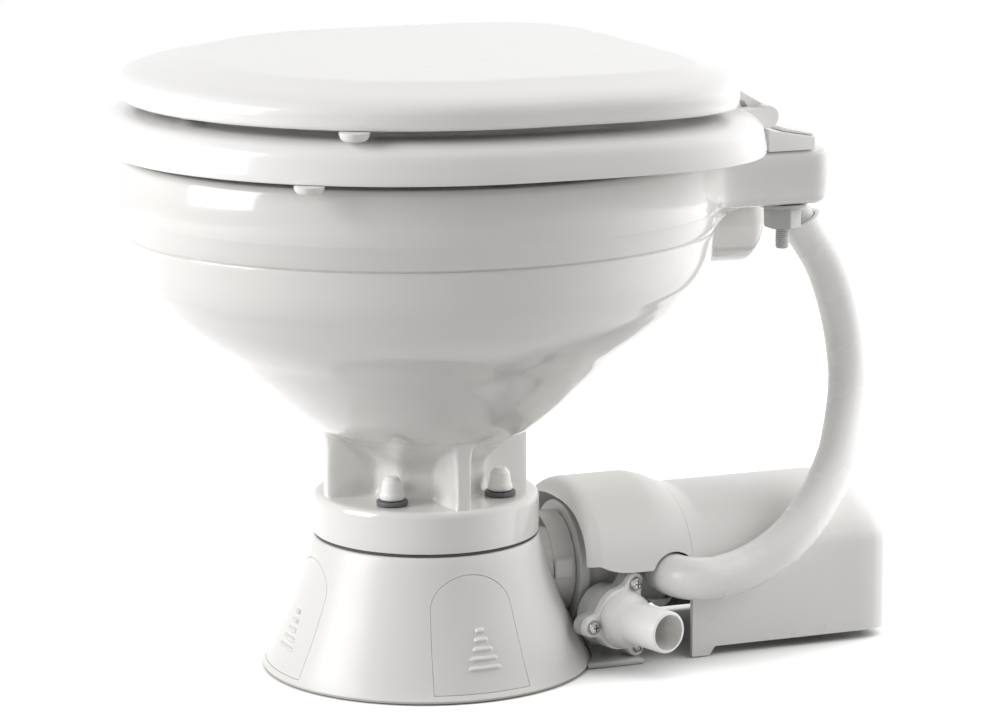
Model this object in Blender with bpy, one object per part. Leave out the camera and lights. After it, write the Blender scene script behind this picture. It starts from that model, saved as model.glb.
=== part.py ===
"""Electric marine toilet: a china bowl on a moulded base, with a macerator pump and motor under a cover.

The origin is the middle of the base on the floor. +Z is up, -Y is the front of the bowl and +Y runs along the
pump and motor. Every length is in metres. Shares are parts of the named length that they multiply.
"""

import math

import bmesh
import bpy
from mathutils import Matrix, Vector

# Clearances
GAP = 0.0003  # between pieces that rest on each other
RUNNING_GAP = 0.001  # between moving pieces and fixed ones
OVERRUN = 0.004  # how far a cutter or a joined shape runs past a face
MERGE_DISTANCE = 0.000002
SHARP_ANGLE = math.radians(35)

# Base
BASE_FOOT_R = 0.1035
BASE_TOP_R = 0.0708
AXIS_Z = 0.056  # height of the pump's and the motor's axis
BASE_HEAD = 0.0276  # the base's top above that axis
BASE_HEIGHT = AXIS_Z + BASE_HEAD
BASE_WALL = 0.004
BASE_PLATE = 0.007
BASE_EDGE_R = 0.006
BASE_BOW = 0.0022
PANEL_HALF_WIDTH = 0.032
PANEL_NARROWING = 0.24
PANEL_HEAD = 0.0106
PANEL_HEIGHT = BASE_HEIGHT - PANEL_HEAD
PANEL_RISE_SHARE = 0.62
PANEL_ROOT_SHARE = 0.55
PANEL_FOOT_Z = 0.005
PANEL_GAP = 0.0004
PANEL_TURNS = (0, 90, 270)
RIDGE_SHARES = (0.24, 0.37, 0.52, 0.74, 0.86)
RIDGE_FIRST_Z = 0.0395
RIDGE_STEP = 0.005
RIDGE_THICK = 0.0016
RIDGE_PROUD = 0.0014
RIDGE_LENGTH = 0.026
DUCT_BORE_R = 0.023
DUCT_WALL = 0.004
DUCT_FLOOR_Z = 0.024
SUMP_R = 0.020
STUB_R = 0.0335
STUB_START_Y = 0.0735
STUB_END_Y = 0.0885
PASSAGE_COVER = 0.0016  # the base's top above the passage to the pump
PASSAGE_WALL = 0.0038
PASSAGE_R = BASE_HEAD - PASSAGE_COVER
PASSAGE_BORE_R = PASSAGE_R - PASSAGE_WALL

# Foot of the bowl and its bolts
SEAL_THICK = 0.0014
SEAL_INSET = 0.0013
FOOT_RING_HEIGHT = 0.0257
FOOT_EDGE_R = 0.0043
POCKET_FLOOR_SHARE = 1.005  # of the foot ring's height
BOLT_CIRCLE_R = 0.0505
BOLT_R = 0.0039
BOLT_HEAD_R = 0.0068
BOLT_HEAD_THICK = 0.005
BOLT_HOLE_R = 0.0044
WASHER_R = 0.0097
WASHER_THICK = 0.0028
CAP_R = 0.0076
CAP_HEIGHT = 0.0145
CAP_BORE_R = 0.0042
CAP_BORE_DEPTH = 0.008
CAP_DOME_TURNS = (0, 35, 65)

# Bowl
RIM_Z = 0.3255
BOWL_HALF_LENGTH = 0.1888
BOWL_HALF_WIDTH = 0.1730
NECK_R = 0.0665
NECK_BORE_R = 0.023
RIB_ANGLES = (0, 3.8, 6.5, 12, 20, 31, 45)
RIB_DEPTH_SHARES = (0, 0.02, 0.40, 0.90, 1.0, 0.97, 0.935)
POCKET_DEPTH = 0.0305
DECK_HALF_WIDTH = 0.095
DECK_REAR_Y = 0.234
DECK_CORNER_R = 0.011
DECK_BLEND_POWER = 40
DECK_ANGLES = (
    0, 12, 19, 21.5, 24, 28, 33, 40, 48, 56, 65, 74, 83, 92, 101, 110, 119, 128, 136, 144, 151.5, 158.5,
    165.5, 173, 180,
)
DECK_UNDER_SHARE = 0.858
# Outside of the bowl above the foot ring: height, length, width and how far the deck reaches out.
BODY_SHARES = (
    (0.286, 0.371, 0.404, 0.0),
    (0.311, 0.411, 0.446, 0.0),
    (0.353, 0.478, 0.513, 0.0),
    (0.399, 0.545, 0.576, 0.0),
    (0.488, 0.673, 0.692, 0.0),
    (0.526, 0.742, 0.752, 0.0),
    (0.564, 0.806, 0.807, 0.0),
    (0.611, 0.870, 0.862, 0.0),
    (0.647, 0.904, 0.891, 0.0),
    (0.680, 0.936, 0.915, 0.0),
    (0.720, 0.955, 0.931, 0.0),
    (0.794, 0.973, 0.944, 0.0),
    (0.799, 0.969, 0.940, 0.01),
    (0.805, 0.980, 0.950, 0.02),
    (0.838, 0.991, 0.970, 0.09),
    (0.853, 0.995, 0.982, 0.38),
    (DECK_UNDER_SHARE, 0.996, 0.985, 0.94),
    (0.866, 0.997, 0.988, 1.0),
    (0.915, 1.0, 0.996, 1.0),
    (0.977, 0.990, 1.0, 1.0),
    (0.994, 0.983, 0.992, 0.985),
    (1.0, 0.964, 0.971, 0.955),
)
# Inside of the bowl from the rim down: height, length and width.
INSIDE_SHARES = (
    (1.0, 0.868, 0.852),
    (0.990, 0.856, 0.841),
    (0.900, 0.850, 0.835),
    (0.880, 0.888, 0.876),
    (0.795, 0.872, 0.856),
    (0.710, 0.850, 0.826),
    (0.647, 0.806, 0.789),
    (0.564, 0.705, 0.705),
    (0.488, 0.575, 0.590),
    (0.399, 0.445, 0.471),
    (0.353, 0.366, 0.396),
    (0.318, 0.270, 0.295),
    (0.285, 0.186, 0.203),
    (0.262, 0.140, 0.153),
)

# Water inlet at the rear of the bowl
HORN_R = 0.027
HORN_Z = 0.269
HORN_START_Y = 0.172
HORN_END_Y = 0.222
HORN_EDGE_R = 0.008
INLET_Z = 0.276
INLET_BORE_R = 0.007
INLET_INSIDE_Y = 0.120
INLET_SEAT_R = 0.014
INLET_SEAT_DEPTH = 0.009
ELBOW_R = 0.0092
ELBOW_BORE_R = 0.0068
ELBOW_BEND_R = 0.017
ELBOW_TURN = 61
ELBOW_BEND_Y = 0.242
ELBOW_LEG = 0.011
ELBOW_COLLAR_R = 0.0125
ELBOW_COLLAR_THICK = 0.003

# Hinges
HINGE_Y = 0.1875
HINGE_RISE = 0.0223
HINGE_Z = RIM_Z + HINGE_RISE
KNUCKLE_R = 0.007
PIN_R = 0.0025
BLOCK_INNER_X = 0.062
BLOCK_OUTER_X = 0.095
BLOCK_FRONT_Y = 0.1888
BLOCK_REAR_Y = 0.2208
BLOCK_FRONT_HEIGHT = 0.0137
BLOCK_REAR_HEIGHT = 0.0082
BLOCK_CAP_THICK = 0.002
LUG_THICK = 0.0115
ARM_INNER_X = 0.0745
ARM_THICK = 0.011
EAR_INNER_X = 0.0865
EAR_THICK = 0.0105
NOTCH_FRONT_Y = 0.1775
EAR_ROOT = 0.0225  # how far the ear runs into the seat
EAR_ROOT_TOP_SHARE = 0.82
PIN_DEPTH_SHARE = 0.75  # of the ear
CAP_FRONT_SHARE = 1.45
HINGE_BOLT_X = 0.0765
HINGE_BOLT_Y = 0.2075
HINGE_BOLT_R = 0.0044
HINGE_BOLT_END_Z = 0.2625
HINGE_BOLT_HEAD_R = 0.0075
HINGE_BOLT_HEAD_THICK = 0.004
HINGE_HEAD_SEAT = 0.0045
HINGE_NUT_R = 0.0116
HINGE_NUT_THICK = 0.0132
HINGE_FLANGE_R = 0.0148
HINGE_FLANGE_THICK = 0.0022

# Seat
SEAT_HALF_WIDTH = 0.1850
SEAT_FRONT_Y = 0.1990
SEAT_REAR_Y = 0.1870
SEAT_FRONT_POWER = 2.05
SEAT_REAR_POWER = 3.6
SEAT_OPEN_HALF_WIDTH = 0.110
SEAT_OPEN_FRONT_Y = 0.142
SEAT_OPEN_REAR_Y = 0.118
SEAT_OPEN_POWER = 2.1
SEAT_LIFT = 0.005
SEAT_FOOT_Z = RIM_Z + SEAT_LIFT
SEAT_THICK = 0.025
# Section of the seat ring from its hole outwards and back underneath: reach and height.
SEAT_SECTION_SHARES = (
    (0.0, 0.20), (0.0, 0.55), (0.08, 0.83), (0.28, 0.98), (0.62, 1.0), (0.84, 0.88),
    (0.95, 0.66), (1.0, 0.20), (0.985, 0.0), (0.06, 0.0),
)
BUMPER_R = 0.009
BUMPER_FOOT_SHARE = 0.8
# Places of the buffers on one side: out from the middle, then forward, or rearward below zero.
SEAT_BUMPER_SHARES = ((0.784, 0.628), (0.730, -0.508))

# Lid
LID_HALF_WIDTH = 0.1780
LID_FRONT_Y = 0.1890
LID_REAR_Y = 0.1640
LID_FRONT_POWER = 2.05
LID_REAR_POWER = 4.2
LID_LIFT = 0.0055
LID_FOOT_Z = SEAT_FOOT_Z + SEAT_THICK + LID_LIFT
LID_RISE = 0.0245
LID_FLAT_HALF_WIDTH = 0.1430
LID_FLAT_FRONT_Y = 0.1420
LID_FLAT_REAR_Y = 0.1420
LID_FLAT_FRONT_POWER = 2.1
LID_FLAT_REAR_POWER = 5.0
LID_SKIN = 0.004
# Section of the lid from the top's middle outwards: how far from the flat to the rim, and height.
LID_OUTER_SHARES = (
    (-0.08, 0.99), (0.03, 0.955), (0.55, 0.80), (0.86, 0.65), (1.0, 0.40), (0.98, 0.16), (0.88, 0.0),
)
LID_INNER_SHARES = ((0.70, 0.0), (0.72, 0.30), (0.50, 0.58), (0.0, 0.78))
LID_BUMPER_SHARES = ((0.854, 0.529), (0.169, 0.836))

# Pump, along +Y
SHAFT_R = 0.004
SHAFT_START_Y = 0.0935
SHAFT_END_Y = 0.2665
HUB_BORE_R = 0.0043
MACERATOR_FLANGE_R = 0.0395
MACERATOR_FLANGE_THICK = 0.0065
MACERATOR_R = 0.035
MACERATOR_CAVITY_R = 0.030
MACERATOR_FRONT_WALL = 0.0035
MACERATOR_END_Y = 0.126
BLADE_Y = 0.096
BLADE_THICK = 0.004
BLADE_HALF_LENGTH = 0.026
BLADE_HALF_WIDTH = 0.005
CHOPPER_Y = 0.103
CHOPPER_THICK = 0.0025
CHOPPER_HUB_HOLE_R = 0.010
CHOPPER_HOLES = 8
CHOPPER_HOLE_R = 0.0035
CHOPPER_HOLE_CIRCLE_R = 0.020
IMPELLER_Y = 0.1085
IMPELLER_R = 0.0255
IMPELLER_DISC = 0.0025
IMPELLER_HUB_R = 0.008
IMPELLER_HEIGHT = 0.012
IMPELLER_VANES = 5
VANE_THICK = 0.003
DUCT_Y = 0.112
OUTLET_DROP = 0.0255
OUTLET_Z = AXIS_Z - OUTLET_DROP
OUTLET_DUCT_R = 0.013
OUTLET_DUCT_BORE_R = 0.009
OUTLET_DUCT_START_X = 0.008
OUTLET_DUCT_END_X = 0.046
OUTLET_TURN = 18
OUTLET_FACE_X = 0.0535
OUTLET_FACE_Y = 0.107
OUTLET_BOSS_R = 0.0195
OUTLET_BOSS_LENGTH = 0.015
OUTLET_BORE_R = 0.0105
PUMP_FOOT_HALF_WIDTH = 0.059
PUMP_FOOT_FRONT_Y = 0.080
PUMP_FOOT_REAR_Y = 0.124
PUMP_FOOT_THICK = 0.0034
PUMP_WEB_HALF_WIDTH = 0.016

# Discharge port
PORT_FLANGE_THICK = 0.005
PORT_HUB_R = 0.0175
PORT_HUB_LENGTH = 0.014
PORT_TUBE_R = 0.0133
PORT_BORE_R = 0.0108
PORT_LENGTH = 0.049
PORT_SCREW_CIRCLE_R = 0.0236
PORT_LUG_R = 0.0070
PORT_LUG_TURNS = (62, 184, 304)
PORT_LUG_REACH = 0.006
PORT_SCREW_HEAD_R = 0.0042
PORT_SCREW_HEAD = 0.0026
PORT_SCREW_R = 0.0021
PORT_SCREW_LENGTH = 0.0105
PORT_SCREW_HOLE_R = 0.0025
SCREW_SLOT_WIDTH = 0.0011
SCREW_SLOT_LENGTH = 0.0048
SCREW_SLOT_DEPTH = 0.0014
VALVE_FLANGE_R = 0.0145
VALVE_FLANGE_THICK = 0.002
VALVE_R = 0.0098
VALVE_BORE_R = 0.008
VALVE_LENGTH = 0.024
VALVE_TIP_R = 0.005
VALVE_TIP_BORE_R = 0.0028

# Flushing pump
FLUSH_R = 0.031
FLUSH_END_Y = 0.157
FLUSH_FRONT_WALL = 0.0085
FLUSH_CAVITY_R = 0.0205
FLUSH_PORT_Y = 0.1455
FLUSH_PORT_DROP = 0.0015
FLUSH_PORT_Z = AXIS_Z - FLUSH_PORT_DROP
FLUSH_PORT_R = 0.0092
FLUSH_PORT_BORE_R = 0.0066
FLUSH_OUTLET_X = 0.050
FLUSH_INLET_X = 0.064
FLEX_HUB_R = 0.008
FLEX_R = 0.0192
FLEX_LENGTH = 0.017
FLEX_VANES = 6
FLEX_FIRST_TURN = 30
FLEX_VANE_THICK = 0.0026
SHAFT_SEAL_R = 0.010
SHAFT_SEAL_THICK = 0.005

# Motor
MOTOR_R = 0.036
MOTOR_WALL = 0.003
MOTOR_FRONT = 0.004
MOTOR_END_Y = 0.262
BEARING_R = 0.011
BEARING_THICK = 0.007
BEARING_BOSS_R = 0.0145
ARMATURE_R = 0.024
ARMATURE_START_Y = 0.178
ARMATURE_END_Y = 0.236
COMMUTATOR_R = 0.012
COMMUTATOR_LENGTH = 0.014
BELL_THICK = 0.010
BELL_SPIGOT_R = 0.0325
BELL_SPIGOT = 0.004

# Motor cover
COVER_WALL = 0.003
COVER_HALF_WIDTH = 0.058
COVER_FRONT_Y = 0.085
COVER_REAR_Y = 0.2985
COVER_PUMP_RISE = 0.0534
COVER_PUMP_TOP_Z = AXIS_Z + COVER_PUMP_RISE
COVER_PUMP_CENTRE_DROP = 0.001
COVER_PUMP_CENTRE_Z = AXIS_Z - COVER_PUMP_CENTRE_DROP
COVER_MOTOR_RISE = 0.0432
COVER_MOTOR_TOP_Z = AXIS_Z + COVER_MOTOR_RISE
COVER_MOTOR_CENTRE_RISE = 0.006
COVER_MOTOR_CENTRE_Z = AXIS_Z + COVER_MOTOR_CENTRE_RISE
COVER_POWER = 2.15
# Stations along the cover: place, inset of the sides, drop of the top, and pump (0) or motor (1) shape.
COVER_STATION_SHARES = (
    (0.0, 0.21, 0.20, 0.0),
    (0.010, 0.085, 0.085, 0.0),
    (0.030, 0.025, 0.025, 0.0),
    (0.062, 0.0, 0.0, 0.0),
    (0.235, 0.0, 0.0, 0.0),
    (0.285, 0.0, 0.015, 0.12),
    (0.330, 0.0, 0.02, 0.48),
    (0.365, 0.0, 0.01, 0.82),
    (0.405, 0.0, 0.0, 1.0),
    (0.890, 0.0, 0.0, 1.0),
    (0.935, 0.01, 0.06, 1.0),
    (0.968, 0.05, 0.16, 1.0),
    (0.988, 0.11, 0.28, 1.0),
    (1.0, 0.22, 0.44, 1.0),
)
COVER_SECTION_STEPS = 14
COVER_FOOT_Z = 0.0004
COVER_SKIRT_Z = 0.006
COVER_LEG_FRONT_Y = 0.1575
COVER_LEG_REAR_Y = 0.172
COVER_OPEN_HALF_WIDTH = 0.0545
COVER_OPEN_RISE = 0.042
COVER_OPEN_TOP_Z = AXIS_Z + COVER_OPEN_RISE
COVER_OPEN_CENTRE_RISE = 0.004
COVER_OPEN_CENTRE_Z = AXIS_Z + COVER_OPEN_CENTRE_RISE
COVER_OPEN_REAR_Y = 0.099
COVER_OPEN_POWER = 2.6
# Lower front edge of the cover, seen from the side: along to the leg, and up to the pump shape's top.
COVER_EDGE_SHARES = (
    (0.598, 0.645), (0.608, 0.603), (0.651, 0.562), (0.694, 0.543), (0.80, 0.540), (1.0, 0.540),
)
COVER_NOTCH_R = 0.0175
SADDLE_HALF_WIDTH = 0.022
SADDLE_THICK = 0.005
SADDLE_FOOT_RISE = 0.024
SADDLE_FOOT_Z = AXIS_Z + SADDLE_FOOT_RISE
SADDLE_PLACE_SHARES = (0.265, 0.838)  # along the motor
CABLE_X = -0.034
CABLE_DROP = 0.026
CABLE_Z = AXIS_Z - CABLE_DROP
CABLE_HOLE_R = 0.006
GROMMET_R = 0.0085
GROMMET_BORE_R = 0.0035
GROMMET_LIP = 0.002

# Rinse hose
HOSE_R = 0.0135
HOSE_BORE_R = 0.0098
HOSE_REACH_X = 0.0745
HOSE_REAR_Y = 0.2876
HOSE_TOP_DROP = 0.0097
HOSE_TOP_Z = INLET_Z - HOSE_TOP_DROP
# Middle line of the hose: across its reach, from the pump's port to the rear, and up to its top end.
HOSE_ROUTE_SHARES = (
    (0.0, 0.787, 1.0),
    (0.0, 0.820, 0.961),
    (0.0, 0.915, 0.861),
    (0.027, 0.977, 0.742),
    (0.107, 1.0, 0.622),
    (0.242, 0.982, 0.507),
    (0.430, 0.916, 0.399),
    (0.658, 0.813, 0.293),
    (0.859, 0.658, 0.183),
    (0.973, 0.494, 0.093),
    (1.0, 0.317, 0.031),
    (1.0, 0.165, 0.005),
    (0.973, 0.094, 0.001),
    (0.907, 0.045, 0.0),
    (0.811, 0.012, 0.0),
    (0.705, 0.0, 0.0),
    (0.550, 0.0, 0.0),
)

# Outlines of the seat and the lid: half width, front, rear, and how square they are in front and behind
SEAT_PLAN = (SEAT_HALF_WIDTH, SEAT_FRONT_Y, SEAT_REAR_Y, SEAT_FRONT_POWER, SEAT_REAR_POWER)
SEAT_OPEN_PLAN = (SEAT_OPEN_HALF_WIDTH, SEAT_OPEN_FRONT_Y, SEAT_OPEN_REAR_Y, SEAT_OPEN_POWER, SEAT_OPEN_POWER)
LID_PLAN = (LID_HALF_WIDTH, LID_FRONT_Y, LID_REAR_Y, LID_FRONT_POWER, LID_REAR_POWER)
LID_FLAT_PLAN = (
    LID_FLAT_HALF_WIDTH, LID_FLAT_FRONT_Y, LID_FLAT_REAR_Y, LID_FLAT_FRONT_POWER, LID_FLAT_REAR_POWER,
)

# Where the stack's faces lie
SEAL_FOOT_Z = BASE_HEIGHT + GAP
FOOT_Z = SEAL_FOOT_Z + SEAL_THICK + GAP
BOWL_HEIGHT = RIM_Z - FOOT_Z
FOOT_TOP_Z = FOOT_Z + FOOT_RING_HEIGHT
DECK_UNDER_Z = FOOT_Z + DECK_UNDER_SHARE * BOWL_HEIGHT
MACERATOR_START_Y = STUB_END_Y + GAP
FLUSH_START_Y = MACERATOR_END_Y + GAP
MOTOR_START_Y = FLUSH_END_Y + GAP
BELL_START_Y = MOTOR_END_Y + GAP
OUTLET_FACE = Vector((OUTLET_FACE_X, OUTLET_FACE_Y, OUTLET_Z))
UPRIGHT = Matrix.Identity(4)
ALONG_X = Matrix(((0, 0, 1, 0), (0, 1, 0, 0), (-1, 0, 0, 0), (0, 0, 0, 1)))
ALONG_Y = Matrix(((1, 0, 0, 0), (0, 0, 1, 0), (0, -1, 0, 0), (0, 0, 0, 1)))
ALONG_OUTLET = Matrix.Rotation(math.radians(OUTLET_TURN), 4, "Z") @ ALONG_X


def clear_scene():
    """Removes every object that the file opens with."""
    for item in list(bpy.data.objects):
        bpy.data.objects.remove(item, do_unlink=True)


def finish(name, colour, roughness, metallic=0.0):
    """A plain material with a Principled shader."""
    made = bpy.data.materials.new(name)
    made.use_nodes = True
    shader = made.node_tree.nodes["Principled BSDF"]
    shader.inputs["Base Color"].default_value = (*colour, 1.0)
    shader.inputs["Roughness"].default_value = roughness
    shader.inputs["Metallic"].default_value = metallic
    made.diffuse_color = (*colour, 1.0)
    return made


def solid(name, points, faces):
    """An object from points and faces, with its faces turned outwards."""
    mesh = bpy.data.meshes.new(name)
    mesh.from_pydata([tuple(point) for point in points], [], faces)
    shape = bmesh.new()
    shape.from_mesh(mesh)
    bmesh.ops.recalc_face_normals(shape, faces=shape.faces)
    shape.to_mesh(mesh)
    shape.free()
    made = bpy.data.objects.new(name, mesh)
    bpy.context.scene.collection.objects.link(made)
    return made


def skin(name, rings, looped=False):
    """A closed surface through rings of points. A ring of one point is a pole, and looped joins the ends."""
    points = []
    starts = []
    faces = []
    for ring in rings:
        starts.append(len(points))
        points.extend(ring)
    pairs = list(zip(range(len(rings) - 1), range(1, len(rings))))
    if looped:
        pairs.append((len(rings) - 1, 0))
    for low, high in pairs:
        count = max(len(rings[low]), len(rings[high]))
        for step in range(count):
            after = (step + 1) % count
            corners = (
                starts[low] + step % len(rings[low]),
                starts[low] + after % len(rings[low]),
                starts[high] + after % len(rings[high]),
                starts[high] + step % len(rings[high]),
            )
            faces.append(tuple(dict.fromkeys(corners)))
    if not looped:
        for end in (0, len(rings) - 1):
            if len(rings[end]) > 1:
                faces.append(tuple(range(starts[end], starts[end] + len(rings[end]))))
    return solid(name, points, faces)


def turned(name, profile, frame=UPRIGHT, place=(0, 0, 0), steps=32, bored=False):
    """A turned shape from (radius, height) pairs. Flat ends are single faces, and bored closes the loop."""
    move = Matrix.Translation(place) @ frame
    profile = list(profile)
    if not bored and profile[0][1] == profile[1][1]:
        profile.pop(0)
    if not bored and profile[-1][1] == profile[-2][1]:
        profile.pop()
    rings = []
    for radius, height in profile:
        count = steps if radius > 0 else 1
        angles = [2 * math.pi * step / steps for step in range(count)]
        rings.append([move @ Vector((radius * math.cos(a), radius * math.sin(a), height)) for a in angles])
    return skin(name, rings, looped=bored)


def rod(name, radius, start, end, frame=UPRIGHT, place=(0, 0, 0), steps=24):
    """A plain cylinder from start to end along its own axis."""
    return turned(name, ((0, start), (radius, start), (radius, end), (0, end)), frame, place, steps)


def tube(name, radius, bore, start, end, frame=UPRIGHT, place=(0, 0, 0), steps=24):
    """A plain ring or tube from start to end along its own axis."""
    profile = ((bore, start), (radius, start), (radius, end), (bore, end))
    return turned(name, profile, frame, place, steps, bored=True)


def block(name, low, high):
    """A box between two corners."""
    corners = [(x, y, z) for x in (low[0], high[0]) for y in (low[1], high[1]) for z in (low[2], high[2])]
    faces = [(0, 1, 3, 2), (4, 6, 7, 5), (0, 4, 5, 1), (2, 3, 7, 6), (0, 2, 6, 4), (1, 5, 7, 3)]
    return solid(name, corners, faces)


def prism(name, outline, start, end, frame=UPRIGHT, place=(0, 0, 0)):
    """A flat outline drawn along its own axis from start to end."""
    move = Matrix.Translation(place) @ frame
    rings = [[move @ Vector((x, y, height)) for x, y in outline] for height in (start, end)]
    return skin(name, rings)


def side_prism(name, outline, start_x, end_x):
    """An outline of (y, z) pairs drawn along X."""
    rings = [[Vector((x, y, z)) for y, z in outline] for x in (start_x, end_x)]
    return skin(name, rings)


def combine(target, others, operation):
    """Joins, cuts or crosses the target with other shapes, which it uses up."""
    for other in others:
        change = target.modifiers.new(other.name, "BOOLEAN")
        change.operation = operation
        change.solver = "EXACT"
        change.object = other
    bpy.context.view_layer.update()
    evaluated = target.evaluated_get(bpy.context.evaluated_depsgraph_get())
    mesh = bpy.data.meshes.new_from_object(evaluated)
    target.modifiers.clear()
    shape = bmesh.new()
    shape.from_mesh(mesh)
    bmesh.ops.remove_doubles(shape, verts=shape.verts, dist=MERGE_DISTANCE)
    bmesh.ops.dissolve_degenerate(shape, edges=shape.edges, dist=MERGE_DISTANCE)
    shape.to_mesh(mesh)
    shape.free()
    target.data = mesh
    for other in others:
        bpy.data.objects.remove(other, do_unlink=True)
    return target


def join(target, *others):
    """Joins other shapes to the target."""
    return combine(target, others, "UNION")


def cut(target, *others):
    """Cuts other shapes out of the target."""
    return combine(target, others, "DIFFERENCE")


def dress(target, material):
    """Gives a finished node its material and its shading."""
    target.data.materials.clear()
    target.data.materials.append(material)
    target.data.shade_smooth()
    target.data.set_sharp_from_angle(angle=SHARP_ANGLE)
    return target


def carried(target, carrier):
    """Moves a piece's origin to its carrier's place and parents it there."""
    target.data.transform(Matrix.Translation(-carrier.matrix_world.translation))
    target.parent = carrier
    return target


def pivot(name, place, parent=None):
    """An empty on a joint axis, which carries the pieces that move."""
    made = bpy.data.objects.new(name, None)
    bpy.context.scene.collection.objects.link(made)
    made.location = place
    if parent:
        made.location = Vector(place) - parent.matrix_world.translation
        made.parent = parent
    bpy.context.view_layer.update()
    return made


def mirror_sides():
    """The two sides, each with its sign along X."""
    return (("right", 1), ("left", -1))


def eased(share):
    """A smooth step from 0 to 1."""
    share = min(max(share, 0.0), 1.0)
    return share * share * (3 - 2 * share)


# Bowl


def oval(turn, half_length, half_width):
    """Radius of an ellipse at an angle from the rear."""
    return 1 / math.hypot(math.cos(turn) / half_length, math.sin(turn) / half_width)


def deck_radius(turn):
    """Radius of the deck's rounded outline at an angle from the rear, or 0 outside it."""
    sine, cosine = abs(math.sin(turn)), math.cos(turn)
    if cosine <= 0:
        return 0.0
    if sine / cosine * DECK_REAR_Y <= DECK_HALF_WIDTH - DECK_CORNER_R:
        return DECK_REAR_Y / cosine
    if cosine / sine * DECK_HALF_WIDTH <= DECK_REAR_Y - DECK_CORNER_R:
        return DECK_HALF_WIDTH / sine
    along = (DECK_HALF_WIDTH - DECK_CORNER_R) * sine + (DECK_REAR_Y - DECK_CORNER_R) * cosine
    square = (DECK_HALF_WIDTH - DECK_CORNER_R) ** 2 + (DECK_REAR_Y - DECK_CORNER_R) ** 2 - DECK_CORNER_R**2
    return along + math.sqrt(along * along - square)


def bowl_turns(height_share):
    """Angles round the bowl: set by the ribs low down and by the deck's corners high up."""
    blend = eased((height_share - 0.28) / 0.42)
    ribs = []
    for quarter in range(2):
        ribs.extend(90 * quarter + angle for angle in RIB_ANGLES[:-1])
        ribs.extend(90 * (quarter + 1) - angle for angle in reversed(RIB_ANGLES[1:]))
    ribs.append(180)
    half = [low + blend * (high - low) for low, high in zip(ribs, DECK_ANGLES)]
    whole = half + [360 - angle for angle in reversed(half[1:-1])]
    return [math.radians(angle) for angle in whole]


def rib_depth(turn):
    """How deep the pocket between the ribs is at an angle, as a share of its full depth."""
    angle = math.degrees(turn) % 90
    angle = min(angle, 90 - angle)
    for index in range(len(RIB_ANGLES) - 1):
        low, high = RIB_ANGLES[index], RIB_ANGLES[index + 1]
        if angle <= high:
            share = (angle - low) / (high - low)
            return RIB_DEPTH_SHARES[index] + share * (RIB_DEPTH_SHARES[index + 1] - RIB_DEPTH_SHARES[index])
    return RIB_DEPTH_SHARES[-1]


def polar_ring(height, height_share, radius_at):
    """A level ring of the bowl from a radius at each angle."""
    ring = []
    for turn in bowl_turns(height_share):
        radius = radius_at(turn)
        ring.append(Vector((radius * math.sin(turn), radius * math.cos(turn), height)))
    return ring


def neck_ring(height_share, radius, pocket_share):
    """A ring of the neck with its four pockets cut to a share of their depth."""
    def radius_at(turn):
        return radius - pocket_share * POCKET_DEPTH * rib_depth(turn)

    return polar_ring(FOOT_Z + height_share * BOWL_HEIGHT, height_share, radius_at)


def deck_ring(height_share, length_share, width_share, reach_share):
    """A ring of the body where the deck grows out of the oval by a share of its whole reach."""

    def radius_at(turn):
        round_part = oval(turn, length_share * BOWL_HALF_LENGTH, width_share * BOWL_HALF_WIDTH)
        deck = deck_radius(turn)
        if deck <= 0:
            return round_part
        power = DECK_BLEND_POWER
        joined = max(round_part, deck)
        whole = joined * ((round_part / joined) ** power + (deck / joined) ** power) ** (1 / power)
        return round_part + reach_share * (whole - round_part)

    return polar_ring(FOOT_Z + height_share * BOWL_HEIGHT, height_share, radius_at)


def bowl_rings():
    """Every ring of the bowl, up its outside and down its inside."""
    foot_edge = FOOT_EDGE_R / BOWL_HEIGHT
    foot_top = FOOT_RING_HEIGHT / BOWL_HEIGHT
    rings = [
        neck_ring(0, BASE_TOP_R - FOOT_EDGE_R / 3, 0),
        neck_ring(foot_edge / 3, BASE_TOP_R, 0),
        neck_ring(foot_top - foot_edge, BASE_TOP_R, 0),
        neck_ring(foot_top - foot_edge / 3, BASE_TOP_R - FOOT_EDGE_R / 3, 0),
        neck_ring(foot_top, BASE_TOP_R - FOOT_EDGE_R, 0),
        neck_ring(foot_top * POCKET_FLOOR_SHARE, NECK_R, 0.93),
        neck_ring(foot_top * 1.06, NECK_R, 0.98),
        neck_ring(foot_top * 1.95, NECK_R, 1.0),
        neck_ring(foot_top * 2.18, NECK_R, 0.90),
        neck_ring(foot_top * 2.38, NECK_R, 0.58),
        neck_ring(foot_top * 2.52, NECK_R * 1.012, 0.18),
    ]
    rings.extend(deck_ring(*shares) for shares in BODY_SHARES)
    for height_share, length_share, width_share in INSIDE_SHARES:
        rings.append(deck_ring(height_share, length_share, width_share, 0))
    rings.append(neck_ring(INSIDE_SHARES[-1][0] * 0.9, NECK_BORE_R, 0))
    rings.append(neck_ring(0, NECK_BORE_R, 0))
    return rings


def bolt_places():
    """The four foot bolts' places on their circle."""
    turns = [math.radians(45 + 90 * quarter) for quarter in range(4)]
    return [(BOLT_CIRCLE_R * math.cos(turn), BOLT_CIRCLE_R * math.sin(turn), 0) for turn in turns]


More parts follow.
